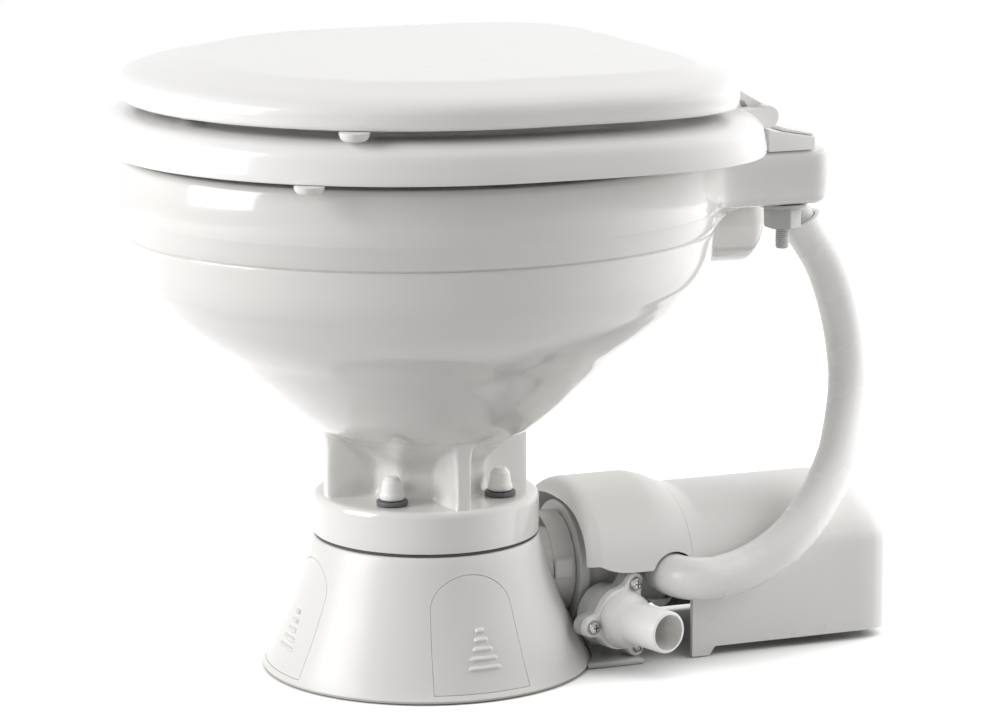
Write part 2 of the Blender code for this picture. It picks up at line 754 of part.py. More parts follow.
def make_bowl(china):
    """The china bowl with its horn and its holes."""
    bowl = skin("bowl", bowl_rings(), looped=True)
    horn = turned(
        "horn",
        (
            (0, HORN_START_Y),
            (HORN_R, HORN_START_Y),
            (HORN_R, HORN_END_Y - HORN_EDGE_R),
            (HORN_R - HORN_EDGE_R / 3, HORN_END_Y - HORN_EDGE_R / 3),
            (HORN_R - HORN_EDGE_R, HORN_END_Y),
            (0, HORN_END_Y),
        ),
        ALONG_Y,
        (0, 0, HORN_Z),
        24,
    )
    join(bowl, horn)
    cutters = [
        rod("inlet", INLET_BORE_R, INLET_INSIDE_Y, HORN_END_Y + OVERRUN, ALONG_Y, (0, 0, INLET_Z), 16),
        rod(
            "inlet_seat",
            INLET_SEAT_R,
            HORN_END_Y - INLET_SEAT_DEPTH,
            HORN_END_Y + OVERRUN,
            ALONG_Y,
            (0, 0, INLET_Z),
        ),
    ]
    for place in bolt_places():
        start, end = FOOT_Z - OVERRUN, FOOT_TOP_Z + OVERRUN
        cutters.append(rod("foot_hole", BOLT_HOLE_R, start, end, place=place, steps=12))
    for _, side in mirror_sides():
        place = (side * HINGE_BOLT_X, HINGE_BOLT_Y, 0)
        start, end = DECK_UNDER_Z - OVERRUN, RIM_Z + OVERRUN
        cutters.append(rod("deck_hole", HINGE_BOLT_R + RUNNING_GAP, start, end, place=place, steps=14))
        room, start = HINGE_FLANGE_R + RUNNING_GAP, DECK_UNDER_Z - HINGE_NUT_THICK
        cutters.append(rod("nut_room", room, start, DECK_UNDER_Z, place=place, steps=24))
    cut(bowl, *cutters)
    return dress(bowl, china)


# Base


def base_radius(height):
    """Outside of the base's cone at a height."""
    share = height / BASE_HEIGHT
    return BASE_FOOT_R + (BASE_TOP_R - BASE_FOOT_R) * share - BASE_BOW * math.sin(math.pi * share)


def cone_profile(offset, start, end, steps=3):
    """The cone's profile between two heights, moved out by an offset."""
    heights = [start + (end - start) * step / steps for step in range(steps + 1)]
    return [(base_radius(height) + offset, height) for height in heights]


def arch(half_width, foot, height, steps=8):
    """An arched outline, flat at its foot and round at its top."""
    rise = half_width * PANEL_RISE_SHARE
    shoulder = height - rise
    outline = [(half_width, foot), (half_width, shoulder)]
    for step in range(1, steps):
        turn = math.pi * step / steps
        outline.append((half_width * math.cos(turn), shoulder + rise * math.sin(turn)))
    outline.extend([(-half_width, shoulder), (-half_width, foot)])
    return outline


def arch_prism(name, inset, turn):
    """The arch drawn outwards through the base's wall, narrower towards its top."""
    outline = arch(PANEL_HALF_WIDTH - inset, PANEL_FOOT_Z + inset, PANEL_HEIGHT - inset)
    rings = []
    for reach in (BASE_TOP_R * PANEL_ROOT_SHARE, BASE_FOOT_R + OVERRUN):
        ring = []
        for across, height in outline:
            narrowing = 1 - PANEL_NARROWING * height / PANEL_HEIGHT
            ring.append(Vector((across * narrowing, -reach, height)))
        rings.append(ring)
    made = skin(name, rings)
    made.data.transform(Matrix.Rotation(math.radians(turn), 4, "Z"))
    return made


def make_base(plastic):
    """The hollow base with its duct, its passage to the pump and its windows."""
    outer = [(0, 0), (base_radius(0) - BASE_EDGE_R / 2, 0), (base_radius(0), BASE_EDGE_R / 3)]
    outer += cone_profile(0, BASE_EDGE_R, BASE_HEIGHT - BASE_EDGE_R / 4)
    outer += [(BASE_TOP_R - BASE_EDGE_R / 6, BASE_HEIGHT), (0, BASE_HEIGHT)]
    base = turned("base", outer, steps=44)
    inside = [(0, -OVERRUN), (base_radius(0) - BASE_WALL, -OVERRUN)]
    inside += cone_profile(-BASE_WALL, 0, BASE_HEIGHT - BASE_PLATE)
    inside += [(0, BASE_HEIGHT - BASE_PLATE)]
    flange_room = rod(
        "flange_room",
        MACERATOR_FLANGE_R + RUNNING_GAP,
        STUB_END_Y - RUNNING_GAP,
        BASE_FOOT_R + OVERRUN,
        ALONG_Y,
        (0, 0, AXIS_Z),
        32,
    )
    cut(base, turned("inside", inside, steps=44), flange_room)
    duct_r = DUCT_BORE_R + DUCT_WALL
    duct = rod("duct", duct_r, DUCT_FLOOR_Z, BASE_HEIGHT - BASE_PLATE / 2, steps=24)
    sump = rod("sump", SUMP_R, 0, DUCT_FLOOR_Z + DUCT_WALL, steps=24)
    centre = (0, 0, AXIS_Z)
    passage = rod("passage", PASSAGE_R, 0, STUB_END_Y - OVERRUN, ALONG_Y, centre, 28)
    stub = rod("stub", STUB_R, STUB_START_Y, STUB_END_Y, ALONG_Y, centre, 32)
    join(base, duct, sump, passage, stub)
    bore_foot_z = DUCT_FLOOR_Z + DUCT_WALL
    cutters = [
        rod("duct_bore", DUCT_BORE_R, bore_foot_z, BASE_HEIGHT + OVERRUN, steps=24),
        rod("passage_bore", PASSAGE_BORE_R, 0, STUB_END_Y + OVERRUN, ALONG_Y, centre, 28),
    ]
    for place in bolt_places():
        start, end = BASE_HEIGHT - BASE_PLATE - OVERRUN, BASE_HEIGHT + OVERRUN
        cutters.append(rod("bolt_hole", BOLT_HOLE_R, start, end, place=place, steps=12))
    cut(base, *cutters)
    cut(base, *[arch_prism("window", 0, turn) for turn in PANEL_TURNS])
    return dress(base, plastic)


def make_panel(index, turn, plastic):
    """One arched access panel, cut from the base's own cone, with its grip ridges."""
    panel = arch_prism("access_panel_%d" % index, PANEL_GAP, turn)
    shell = turned(
        "shell",
        cone_profile(0, 0, BASE_HEIGHT) + list(reversed(cone_profile(-BASE_WALL, 0, BASE_HEIGHT))),
        steps=44,
        bored=True,
    )
    combine(panel, (shell,), "INTERSECT")
    ridges = []
    for step, share in enumerate(RIDGE_SHARES):
        height = RIDGE_FIRST_Z - step * RIDGE_STEP
        reach = base_radius(height)
        low = (-share * RIDGE_LENGTH / 2, -reach - RIDGE_PROUD, height)
        high = (share * RIDGE_LENGTH / 2, -reach + BASE_WALL / 2, height + RIDGE_THICK)
        ridge = block("ridge", low, high)
        ridge.data.transform(Matrix.Rotation(math.radians(turn), 4, "Z"))
        ridges.append(ridge)
    join(panel, *ridges)
    return dress(panel, plastic)


def make_foot_seal(rubber):
    """The flat seal between the base and the bowl's foot."""
    outer, bore = BASE_TOP_R - SEAL_INSET, DUCT_BORE_R + RUNNING_GAP
    seal = tube("bowl_base_seal", outer, bore, SEAL_FOOT_Z, SEAL_FOOT_Z + SEAL_THICK, steps=32)
    low, high = SEAL_FOOT_Z - OVERRUN, FOOT_Z + OVERRUN
    holes = [rod("seal_hole", BOLT_HOLE_R, low, high, place=place, steps=10) for place in bolt_places()]
    return dress(cut(seal, *holes), rubber)


def make_foot_parts(dark, steel, white):
    """The four foot bolts with their washers and caps."""
    washer_z = FOOT_Z + FOOT_RING_HEIGHT * POCKET_FLOOR_SHARE + GAP
    cap_z = washer_z + WASHER_THICK + GAP
    head_top_z = BASE_HEIGHT - BASE_PLATE - GAP
    for index, place in enumerate(bolt_places(), 1):
        bolt = turned(
            "foot_bolt_%d" % index,
            (
                (0, head_top_z - BOLT_HEAD_THICK),
                (BOLT_HEAD_R, head_top_z - BOLT_HEAD_THICK),
                (BOLT_HEAD_R, head_top_z),
                (BOLT_R, head_top_z),
                (BOLT_R, cap_z + CAP_BORE_DEPTH - RUNNING_GAP),
                (0, cap_z + CAP_BORE_DEPTH - RUNNING_GAP),
            ),
            place=place,
            steps=8,
        )
        dress(bolt, steel)
        washer_name, washer_top = "foot_washer_%d" % index, washer_z + WASHER_THICK
        dress(tube(washer_name, WASHER_R, BOLT_HOLE_R, washer_z, washer_top, place=place, steps=16), dark)
        straight = cap_z + CAP_HEIGHT - CAP_R
        turns = [math.radians(turn) for turn in CAP_DOME_TURNS]
        dome = [(CAP_R * math.cos(turn), straight + CAP_R * math.sin(turn)) for turn in turns]
        bore_top = cap_z + CAP_BORE_DEPTH
        cap = turned(
            "foot_cap_%d" % index,
            [(0, bore_top), (CAP_BORE_R, bore_top), (CAP_BORE_R, cap_z), (CAP_R, cap_z)]
            + dome
            + [(0, cap_z + CAP_HEIGHT)],
            place=place,
            steps=14,
        )
        dress(cap, white)


# Pump


def placed(target, frame, place):
    """Moves a shape that was made about the world's own axes."""
    target.data.transform(Matrix.Translation(place) @ frame)
    return target


def screw_rod(name, turn, radius, start, end, steps=10):
    """A cylinder on one of the discharge screws' axes, measured outwards from the outlet's face along +Z."""
    angle = math.radians(turn)
    place = (-math.sin(angle) * PORT_SCREW_CIRCLE_R, math.cos(angle) * PORT_SCREW_CIRCLE_R, 0)
    return rod(name, radius, start, end, place=place, steps=steps)


def make_macerator_housing(plastic):
    """The waste pump's housing with its outlet and its foot."""
    flange_end = MACERATOR_START_Y + MACERATOR_FLANGE_THICK
    centre = (0, 0, AXIS_Z)
    housing = turned(
        "macerator_housing",
        (
            (0, MACERATOR_START_Y),
            (MACERATOR_FLANGE_R, MACERATOR_START_Y),
            (MACERATOR_FLANGE_R, flange_end),
            (MACERATOR_R, flange_end),
            (MACERATOR_R, MACERATOR_END_Y),
            (0, MACERATOR_END_Y),
        ),
        ALONG_Y,
        centre,
        32,
    )
    duct_place = (0, DUCT_Y, OUTLET_Z)
    duct = rod("duct", OUTLET_DUCT_R, OUTLET_DUCT_START_X, OUTLET_DUCT_END_X, ALONG_X, duct_place, 20)
    boss = rod("boss", OUTLET_BOSS_R, -OUTLET_BOSS_LENGTH, 0, steps=24)
    lug_foot = -PORT_LUG_REACH
    join(boss, *[screw_rod("lug", turn, PORT_LUG_R, lug_foot, 0, 16) for turn in PORT_LUG_TURNS])
    hole_foot = lug_foot - RUNNING_GAP
    holes = [screw_rod("hole", turn, PORT_SCREW_HOLE_R, hole_foot, OVERRUN) for turn in PORT_LUG_TURNS]
    cut(boss, *holes)
    placed(boss, ALONG_OUTLET, OUTLET_FACE)
    foot = block(
        "foot",
        (-PUMP_FOOT_HALF_WIDTH, PUMP_FOOT_FRONT_Y, 0),
        (PUMP_FOOT_HALF_WIDTH, PUMP_FOOT_REAR_Y, PUMP_FOOT_THICK),
    )
    web = block(
        "web",
        (-PUMP_WEB_HALF_WIDTH, BASE_FOOT_R + OVERRUN / 2, PUMP_FOOT_THICK / 2),
        (PUMP_WEB_HALF_WIDTH, MACERATOR_END_Y - OVERRUN, AXIS_Z - MACERATOR_R + OVERRUN),
    )
    join(housing, duct, boss, web, foot)
    cavity_start = MACERATOR_START_Y + MACERATOR_FRONT_WALL
    clearance = BASE_FOOT_R + 2 * GAP
    outlet_bore = rod("outlet_bore", OUTLET_BORE_R, OVERRUN / 2 - OUTLET_BOSS_LENGTH, OVERRUN, steps=20)
    front_start, front_end = MACERATOR_START_Y - OVERRUN, cavity_start + OVERRUN
    cut(
        housing,
        rod("front_bore", PASSAGE_BORE_R, front_start, front_end, ALONG_Y, centre, 28),
        rod("cavity", MACERATOR_CAVITY_R, cavity_start, MACERATOR_END_Y + OVERRUN, ALONG_Y, centre, 32),
        rod(
            "duct_bore",
            OUTLET_DUCT_BORE_R,
            OUTLET_DUCT_START_X - OVERRUN,
            OUTLET_DUCT_END_X - OVERRUN / 2,
            ALONG_X,
            (0, DUCT_Y, OUTLET_Z),
            16,
        ),
        placed(outlet_bore, ALONG_OUTLET, OUTLET_FACE),
        rod("base_clearance", clearance, -OVERRUN, BASE_EDGE_R, steps=44),
    )
    return dress(housing, plastic)


def make_shaft(rotor, iron):
    """The motor's shaft with its core and commutator."""
    commutator_end = ARMATURE_END_Y + COMMUTATOR_LENGTH
    shaft = turned(
        "armature_shaft",
        (
            (0, SHAFT_START_Y),
            (SHAFT_R, SHAFT_START_Y),
            (SHAFT_R, ARMATURE_START_Y),
            (ARMATURE_R, ARMATURE_START_Y),
            (ARMATURE_R, ARMATURE_END_Y),
            (COMMUTATOR_R, ARMATURE_END_Y),
            (COMMUTATOR_R, commutator_end),
            (SHAFT_R, commutator_end),
            (SHAFT_R, SHAFT_END_Y),
            (0, SHAFT_END_Y),
        ),
        ALONG_Y,
        (0, 0, AXIS_Z),
        16,
    )
    return carried(dress(shaft, iron), rotor)


def hub_bore(start, end):
    """The cutter for the shaft's hole through a piece that turns with it."""
    return rod("bore", HUB_BORE_R, start - OVERRUN, end + OVERRUN, ALONG_Y, (0, 0, AXIS_Z), 16)


def make_blade(rotor, steel):
    """The macerator's cutting blade."""
    blade = block(
        "macerator_blade",
        (-BLADE_HALF_LENGTH, BLADE_Y, AXIS_Z - BLADE_HALF_WIDTH),
        (BLADE_HALF_LENGTH, BLADE_Y + BLADE_THICK, AXIS_Z + BLADE_HALF_WIDTH),
    )
    cut(blade, hub_bore(BLADE_Y, BLADE_Y + BLADE_THICK))
    return carried(dress(blade, steel), rotor)


def make_impeller(rotor, plastic):
    """The wheel that pumps the waste out."""
    end = IMPELLER_Y + IMPELLER_HEIGHT
    disc = end - IMPELLER_DISC
    impeller = turned(
        "centrifugal_impeller",
        (
            (0, IMPELLER_Y),
            (IMPELLER_HUB_R, IMPELLER_Y),
            (IMPELLER_HUB_R, disc),
            (IMPELLER_R, disc),
            (IMPELLER_R, end),
            (0, end),
        ),
        ALONG_Y,
        (0, 0, AXIS_Z),
        24,
    )
    reach, start, stop = IMPELLER_R - RUNNING_GAP, IMPELLER_Y + RUNNING_GAP, disc + IMPELLER_DISC / 2
    turns = [360 * step / IMPELLER_VANES for step in range(IMPELLER_VANES)]
    join(impeller, *[vane("vane", reach, VANE_THICK, start, stop, turn) for turn in turns])
    cut(impeller, hub_bore(IMPELLER_Y, end))
    return carried(dress(impeller, plastic), rotor)


def make_flexible_impeller(rotor, rubber):
    """The rubber wheel of the flushing pump."""
    start = FLUSH_START_Y + FLUSH_FRONT_WALL + RUNNING_GAP
    end = start + FLEX_LENGTH
    flex = rod("flexible_impeller", FLEX_HUB_R, start, end, ALONG_Y, (0, 0, AXIS_Z), 18)
    turns = [360 * step / FLEX_VANES + FLEX_FIRST_TURN for step in range(FLEX_VANES)]
    near, far = start + RUNNING_GAP, end - RUNNING_GAP
    join(flex, *[vane("vane", FLEX_R, FLEX_VANE_THICK, near, far, turn) for turn in turns])
    cut(flex, hub_bore(start, end))
    return carried(dress(flex, rubber), rotor)


def vane(name, reach, thick, start, end, turn):
    """One straight blade from the shaft's axis outwards."""
    made = block(name, (SHAFT_R, start, -thick / 2), (reach, end, thick / 2))
    made.data.transform(Matrix.Translation((0, 0, AXIS_Z)) @ Matrix.Rotation(math.radians(turn), 4, "Y"))
    return made


def make_chopper_plate(steel):
    """The fixed plate with holes behind the blade."""
    centre = (0, 0, AXIS_Z)
    outer, end = MACERATOR_CAVITY_R - GAP, CHOPPER_Y + CHOPPER_THICK
    plate = tube("chopper_plate", outer, CHOPPER_HUB_HOLE_R, CHOPPER_Y, end, ALONG_Y, centre, 24)
    holes = []
    for step in range(CHOPPER_HOLES):
        turn = 2 * math.pi * (step + 1 / 3) / CHOPPER_HOLES
        place = (CHOPPER_HOLE_CIRCLE_R * math.cos(turn), 0, AXIS_Z + CHOPPER_HOLE_CIRCLE_R * math.sin(turn))
        holes.append(rod("hole", CHOPPER_HOLE_R, CHOPPER_Y - OVERRUN, end + OVERRUN, ALONG_Y, place, 8))
    return dress(cut(plate, *holes), steel)


def make_discharge_port(white, rubber, steel):
    """The port with its three lugs, the duckbill valve inside it and its screws."""
    start = GAP
    face = start + PORT_FLANGE_THICK
    port = turned(
        "discharge_port",
        (
            (0, start),
            (OUTLET_BOSS_R, start),
            (OUTLET_BOSS_R, face),
            (PORT_HUB_R, face),
            (PORT_HUB_R - RUNNING_GAP, PORT_HUB_LENGTH),
            (PORT_TUBE_R, PORT_HUB_LENGTH + PORT_FLANGE_THICK),
            (PORT_TUBE_R, PORT_LENGTH - RUNNING_GAP),
            (PORT_TUBE_R - RUNNING_GAP / 2, PORT_LENGTH),
            (0, PORT_LENGTH),
        ),
        steps=24,
    )
    join(port, *[screw_rod("lug", turn, PORT_LUG_R, start, face, 16) for turn in PORT_LUG_TURNS])
    valve_seat = start + VALVE_FLANGE_THICK + GAP
    cutters = [
        rod("bore", PORT_BORE_R, start - OVERRUN, PORT_LENGTH + OVERRUN, steps=20),
        rod("valve_seat", VALVE_FLANGE_R + GAP, start - OVERRUN, valve_seat, steps=24),
    ]
    for turn in PORT_LUG_TURNS:
        cutters.append(screw_rod("screw_hole", turn, PORT_SCREW_HOLE_R, start - OVERRUN, face + OVERRUN))
    dress(placed(cut(port, *cutters), ALONG_OUTLET, OUTLET_FACE), white)
    valve = turned(
        "joker_valve",
        (
            (VALVE_BORE_R, start),
            (VALVE_FLANGE_R, start),
            (VALVE_FLANGE_R, start + VALVE_FLANGE_THICK),
            (VALVE_R, start + VALVE_FLANGE_THICK),
            (VALVE_R, VALVE_LENGTH / 2),
            (VALVE_TIP_R, VALVE_LENGTH),
            (VALVE_TIP_BORE_R, VALVE_LENGTH),
            (VALVE_BORE_R, VALVE_LENGTH / 2),
        ),
        steps=16,
        bored=True,
    )
    dress(placed(valve, ALONG_OUTLET, OUTLET_FACE), rubber)
    for index, turn in enumerate(PORT_LUG_TURNS, 1):
        seat = face + GAP
        top = seat + PORT_SCREW_HEAD
        screw_foot, screw_top = seat - PORT_SCREW_LENGTH, top - PORT_SCREW_HEAD / 2
        screw = screw_rod("discharge_screw_%d" % index, turn, PORT_SCREW_R, screw_foot, screw_top)
        join(screw, screw_rod("head", turn, PORT_SCREW_HEAD_R, seat, top, 14))
        cut(screw, *screw_slots(turn, top))
        dress(placed(screw, ALONG_OUTLET, OUTLET_FACE), steel)


def screw_slots(turn, top):
    """The two crossed slots in a discharge screw's head."""
    angle = math.radians(turn)
    x, y = -math.sin(angle) * PORT_SCREW_CIRCLE_R, math.cos(angle) * PORT_SCREW_CIRCLE_R
    half_width, half_length = SCREW_SLOT_WIDTH / 2, SCREW_SLOT_LENGTH / 2
    slots = []
    for across, along in ((half_width, half_length), (half_length, half_width)):
        low = (x - across, y - along, top - SCREW_SLOT_DEPTH)
        slots.append(block("slot", low, (x + across, y + along, top + OVERRUN)))
    return slots


def make_flush_pump(plastic, rubber):
    """The flushing pump's body and the shaft's seal."""
    centre = (0, 0, AXIS_Z)
    port_centre = (0, FLUSH_PORT_Y, FLUSH_PORT_Z)
    body = rod("flush_pump_body", FLUSH_R, FLUSH_START_Y, FLUSH_END_Y, ALONG_Y, centre, 28)
    join(body, rod("ports", FLUSH_PORT_R, -FLUSH_INLET_X, FLUSH_OUTLET_X, ALONG_X, port_centre, 18))
    cavity_start = FLUSH_START_Y + FLUSH_FRONT_WALL
    port_start, port_end = -FLUSH_INLET_X - OVERRUN, FLUSH_OUTLET_X + OVERRUN
    hole_start, hole_end = FLUSH_START_Y - OVERRUN / 2, cavity_start + OVERRUN
    seal_end = FLUSH_START_Y + SHAFT_SEAL_THICK
    cut(
        body,
        rod("cavity", FLUSH_CAVITY_R, cavity_start, FLUSH_END_Y + OVERRUN, ALONG_Y, centre, 28),
        rod("port_bore", FLUSH_PORT_BORE_R, port_start, port_end, ALONG_X, port_centre, 14),
        rod("shaft_hole", SHAFT_R + RUNNING_GAP, hole_start, hole_end, ALONG_Y, centre, 16),
        rod("seal_seat", SHAFT_SEAL_R + GAP, FLUSH_START_Y - OVERRUN, seal_end + GAP, ALONG_Y, centre, 20),
    )
    dress(body, plastic)
    seal = tube("shaft_seal", SHAFT_SEAL_R, SHAFT_R + GAP, FLUSH_START_Y, seal_end, ALONG_Y, centre, 16)
    dress(seal, rubber)


def make_motor(metal, steel):
    """The motor's case, front bearing and end bell."""
    centre = (0, 0, AXIS_Z)
    boss_end = MOTOR_START_Y + BEARING_THICK + MOTOR_FRONT / 2
    case = turned(
        "motor_case",
        (
            (SHAFT_R + RUNNING_GAP, MOTOR_START_Y),
            (MOTOR_R, MOTOR_START_Y),
            (MOTOR_R, MOTOR_END_Y),
            (MOTOR_R - MOTOR_WALL, MOTOR_END_Y),
            (MOTOR_R - MOTOR_WALL, MOTOR_START_Y + MOTOR_FRONT),
            (BEARING_BOSS_R, MOTOR_START_Y + MOTOR_FRONT),
            (BEARING_BOSS_R, boss_end),
            (BEARING_R + GAP, boss_end),
            (BEARING_R + GAP, MOTOR_START_Y + MOTOR_FRONT / 2),
            (SHAFT_R + RUNNING_GAP, MOTOR_START_Y + MOTOR_FRONT / 2),
        ),
        ALONG_Y,
        centre,
        28,
        bored=True,
    )
    dress(case, metal)
    bearing_y = MOTOR_START_Y + MOTOR_FRONT / 2 + GAP
    bearing_end = bearing_y + BEARING_THICK
    bearing = tube("front_bearing", BEARING_R, SHAFT_R + GAP, bearing_y, bearing_end, ALONG_Y, centre, 14)
    dress(bearing, steel)
    bell = turned(
        "motor_end_bell",
        (
            (SHAFT_R + GAP, BELL_START_Y - BELL_SPIGOT),
            (BELL_SPIGOT_R, BELL_START_Y - BELL_SPIGOT),
            (BELL_SPIGOT_R, BELL_START_Y),
            (MOTOR_R, BELL_START_Y),
            (MOTOR_R, BELL_START_Y + BELL_THICK - RUNNING_GAP),
            (MOTOR_R - 2 * RUNNING_GAP, BELL_START_Y + BELL_THICK),
            (SHAFT_R + GAP, BELL_START_Y + BELL_THICK),
        ),
        ALONG_Y,
        centre,
        28,
        bored=True,
    )
    dress(bell, metal)


# Motor cover


def cover_section(station, inset, foot_z):
    """One cross-section of the cover, from its right foot over the top to its left foot."""
    along, side_share, top_share, motor_share = station
    y = COVER_FRONT_Y + along * (COVER_REAR_Y - COVER_FRONT_Y)
    if along == 0:
        y += inset
    if along == 1:
        y -= inset
    top = COVER_PUMP_TOP_Z + motor_share * (COVER_MOTOR_TOP_Z - COVER_PUMP_TOP_Z)
    centre = COVER_PUMP_CENTRE_Z + motor_share * (COVER_MOTOR_CENTRE_Z - COVER_PUMP_CENTRE_Z)
    half_width = COVER_HALF_WIDTH * (1 - side_share) - inset
    rise = (top - centre) * (1 - top_share) - inset
    ring = [Vector((half_width, y, foot_z))]
    for step in range(COVER_SECTION_STEPS + 1):
        turn = math.pi * step / COVER_SECTION_STEPS
        cosine = 0.0 if 2 * step == COVER_SECTION_STEPS else math.cos(turn)
        across = math.copysign(abs(cosine) ** (2 / COVER_POWER), cosine)
        up = abs(math.sin(turn)) ** (2 / COVER_POWER)
        ring.append(Vector((half_width * across, y, centre + rise * up)))
    ring.append(Vector((-half_width, y, foot_z)))
    return ring


def superoval(half_width, half_height, power, steps):
    """An outline between an ellipse and a rectangle."""
    outline = []
    for step in range(steps):
        turn = 2 * math.pi * step / steps
        across = math.copysign(abs(math.cos(turn)) ** (2 / power), math.cos(turn))
        up = math.copysign(abs(math.sin(turn)) ** (2 / power), math.sin(turn))
        outline.append((half_width * across, half_height * up))
    return outline


def make_cover(plastic):
    """The moulded cover with its openings and the saddles that rest on the motor."""
    cover = skin("motor_cover", [cover_section(station, 0, COVER_FOOT_Z) for station in COVER_STATION_SHARES])
    hollow_stations = COVER_STATION_SHARES[:1] + COVER_STATION_SHARES[2::2]
    hollow = skin("hollow", [cover_section(station, COVER_WALL, -OVERRUN) for station in hollow_stations])
    cut(cover, hollow)
    saddles = []
    for share in SADDLE_PLACE_SHARES:
        place = MOTOR_START_Y + share * (MOTOR_END_Y - MOTOR_START_Y)
        saddle = block(
            "saddle",
            (-SADDLE_HALF_WIDTH, place, SADDLE_FOOT_Z),
            (SADDLE_HALF_WIDTH, place + SADDLE_THICK, COVER_MOTOR_TOP_Z - COVER_WALL * 2),
        )
        roof = block(
            "roof",
            (-SADDLE_HALF_WIDTH / 3, place, COVER_MOTOR_TOP_Z - COVER_WALL * 3),
            (SADDLE_HALF_WIDTH / 3, place + SADDLE_THICK, COVER_MOTOR_TOP_Z - COVER_WALL / 2),
        )
        saddles.extend((saddle, roof))
    join(cover, *saddles)
    edge = [(COVER_LEG_FRONT_Y * along, COVER_PUMP_TOP_Z * up) for along, up in COVER_EDGE_SHARES]
    front = COVER_FRONT_Y - OVERRUN
    low_front = [(COVER_LEG_FRONT_Y, -OVERRUN), (front, -OVERRUN), (front, edge[0][1])]
    reach = COVER_HALF_WIDTH + OVERRUN
    opening = superoval(COVER_OPEN_HALF_WIDTH, COVER_OPEN_TOP_Z - COVER_OPEN_CENTRE_Z, COVER_OPEN_POWER, 28)
    motor_room_end = BELL_START_Y + BELL_THICK
    cable_start, cable_end = COVER_REAR_Y - COVER_WALL * 4, COVER_REAR_Y + OVERRUN
    cut(
        cover,
        side_prism("low_front", low_front + edge, -reach, reach),
        prism("opening", opening, front, COVER_OPEN_REAR_Y, ALONG_Y, (0, 0, COVER_OPEN_CENTRE_Z)),
        rod("notch", COVER_NOTCH_R, -reach, reach, ALONG_X, (0, FLUSH_PORT_Y, FLUSH_PORT_Z), 24),
        block("skirt", (-reach, COVER_LEG_REAR_Y, -OVERRUN), (reach, COVER_REAR_Y + OVERRUN, COVER_SKIRT_Z)),
        rod("motor_room", MOTOR_R + GAP, MOTOR_START_Y, motor_room_end, ALONG_Y, (0, 0, AXIS_Z), 28),
        rod("cable_hole", CABLE_HOLE_R, cable_start, cable_end, ALONG_Y, (CABLE_X, 0, CABLE_Z), 16),
    )
    return dress(cover, plastic)


def make_grommet(rubber):
    """The rubber ring in the cover's cable outlet, with a lip on each side of the wall."""
    outer = COVER_REAR_Y + GAP
    inner = COVER_REAR_Y - COVER_WALL - GAP
    neck = CABLE_HOLE_R - GAP
    grommet = turned(
        "cable_grommet",
        (
            (GROMMET_BORE_R, inner - GROMMET_LIP),
            (GROMMET_R, inner - GROMMET_LIP),
            (GROMMET_R, inner),
            (neck, inner),
            (neck, outer),
            (GROMMET_R, outer),
            (GROMMET_R, outer + GROMMET_LIP),
            (GROMMET_BORE_R, outer + GROMMET_LIP),
        ),
        ALONG_Y,
        (CABLE_X, 0, CABLE_Z),
        16,
        bored=True,
    )
    return dress(grommet, rubber)


# Hose and elbow


def hose_route():
    """The hose's middle line, from the elbow down to the pump's port."""
    points = []
    for across, along, up in HOSE_ROUTE_SHARES:
        y = FLUSH_PORT_Y + along * (HOSE_REAR_Y - FLUSH_PORT_Y)
        points.append(Vector((across * HOSE_REACH_X, y, FLUSH_PORT_Z + up * (HOSE_TOP_Z - FLUSH_PORT_Z))))
    return points


def swept_rings(route, radius, steps):
    """Rings round a route, carried along it without twist."""
    side = Vector((1, 0, 0))
    rings = []
    for index, point in enumerate(route):
        ahead = (route[min(index + 1, len(route) - 1)] - route[max(index - 1, 0)]).normalized()
        side = (side - ahead * side.dot(ahead)).normalized()
        other = ahead.cross(side)
        angles = [2 * math.pi * step / steps for step in range(steps)]
        rings.append([point + radius * (math.cos(a) * side + math.sin(a) * other) for a in angles])
    return rings


def swept_tube(name, route, radius, bore, steps):
    """A tube along a route."""
    outer = swept_rings(route, radius, steps)
    inner = swept_rings(route, bore, steps)
    return skin(name, outer + list(reversed(inner)), looped=True)


def make_hose(plastic):
    """The stiff rinse hose over the elbow's and the flushing pump's ends."""
    return dress(swept_tube("rinse_hose", hose_route(), HOSE_R, HOSE_BORE_R, 14), plastic)


def make_elbow(plastic, rubber):
    """The elbow from the horn into the hose, and its seal in the horn."""
    seat_y = HORN_END_Y - INLET_SEAT_DEPTH
    route = [Vector((0, seat_y + RUNNING_GAP, INLET_Z)), Vector((0, ELBOW_BEND_Y, INLET_Z))]
    bends = 5
    for step in range(1, bends + 1):
        turn = math.radians(ELBOW_TURN) * step / bends
        drop = ELBOW_BEND_R * (1 - math.cos(turn))
        route.append(Vector((0, ELBOW_BEND_Y + ELBOW_BEND_R * math.sin(turn), INLET_Z - drop)))
    down = Vector((0, math.cos(math.radians(ELBOW_TURN)), -math.sin(math.radians(ELBOW_TURN))))
    route.append(route[-1] + ELBOW_LEG * down)
    elbow = swept_tube("inlet_elbow", route, ELBOW_R, ELBOW_BORE_R, 14)
    collar_y = HORN_END_Y + ELBOW_COLLAR_THICK
    collar_bore, collar_end = ELBOW_R - RUNNING_GAP, collar_y + ELBOW_COLLAR_THICK
    collar = tube("collar", ELBOW_COLLAR_R, collar_bore, collar_y, collar_end, ALONG_Y, (0, 0, INLET_Z), 16)
    dress(join(elbow, collar), plastic)
    seal = turned(
        "inlet_seal",
        (
            (ELBOW_R + GAP, seat_y + GAP),
            (INLET_SEAT_R - GAP, seat_y + GAP),
            (INLET_SEAT_R - GAP, HORN_END_Y + 2 * RUNNING_GAP),
            (ELBOW_R + GAP, HORN_END_Y + 2 * RUNNING_GAP),
        ),
        ALONG_Y,
        (0, 0, INLET_Z),
        20,
        bored=True,
    )
    dress(seal, rubber)


# Seat and lid


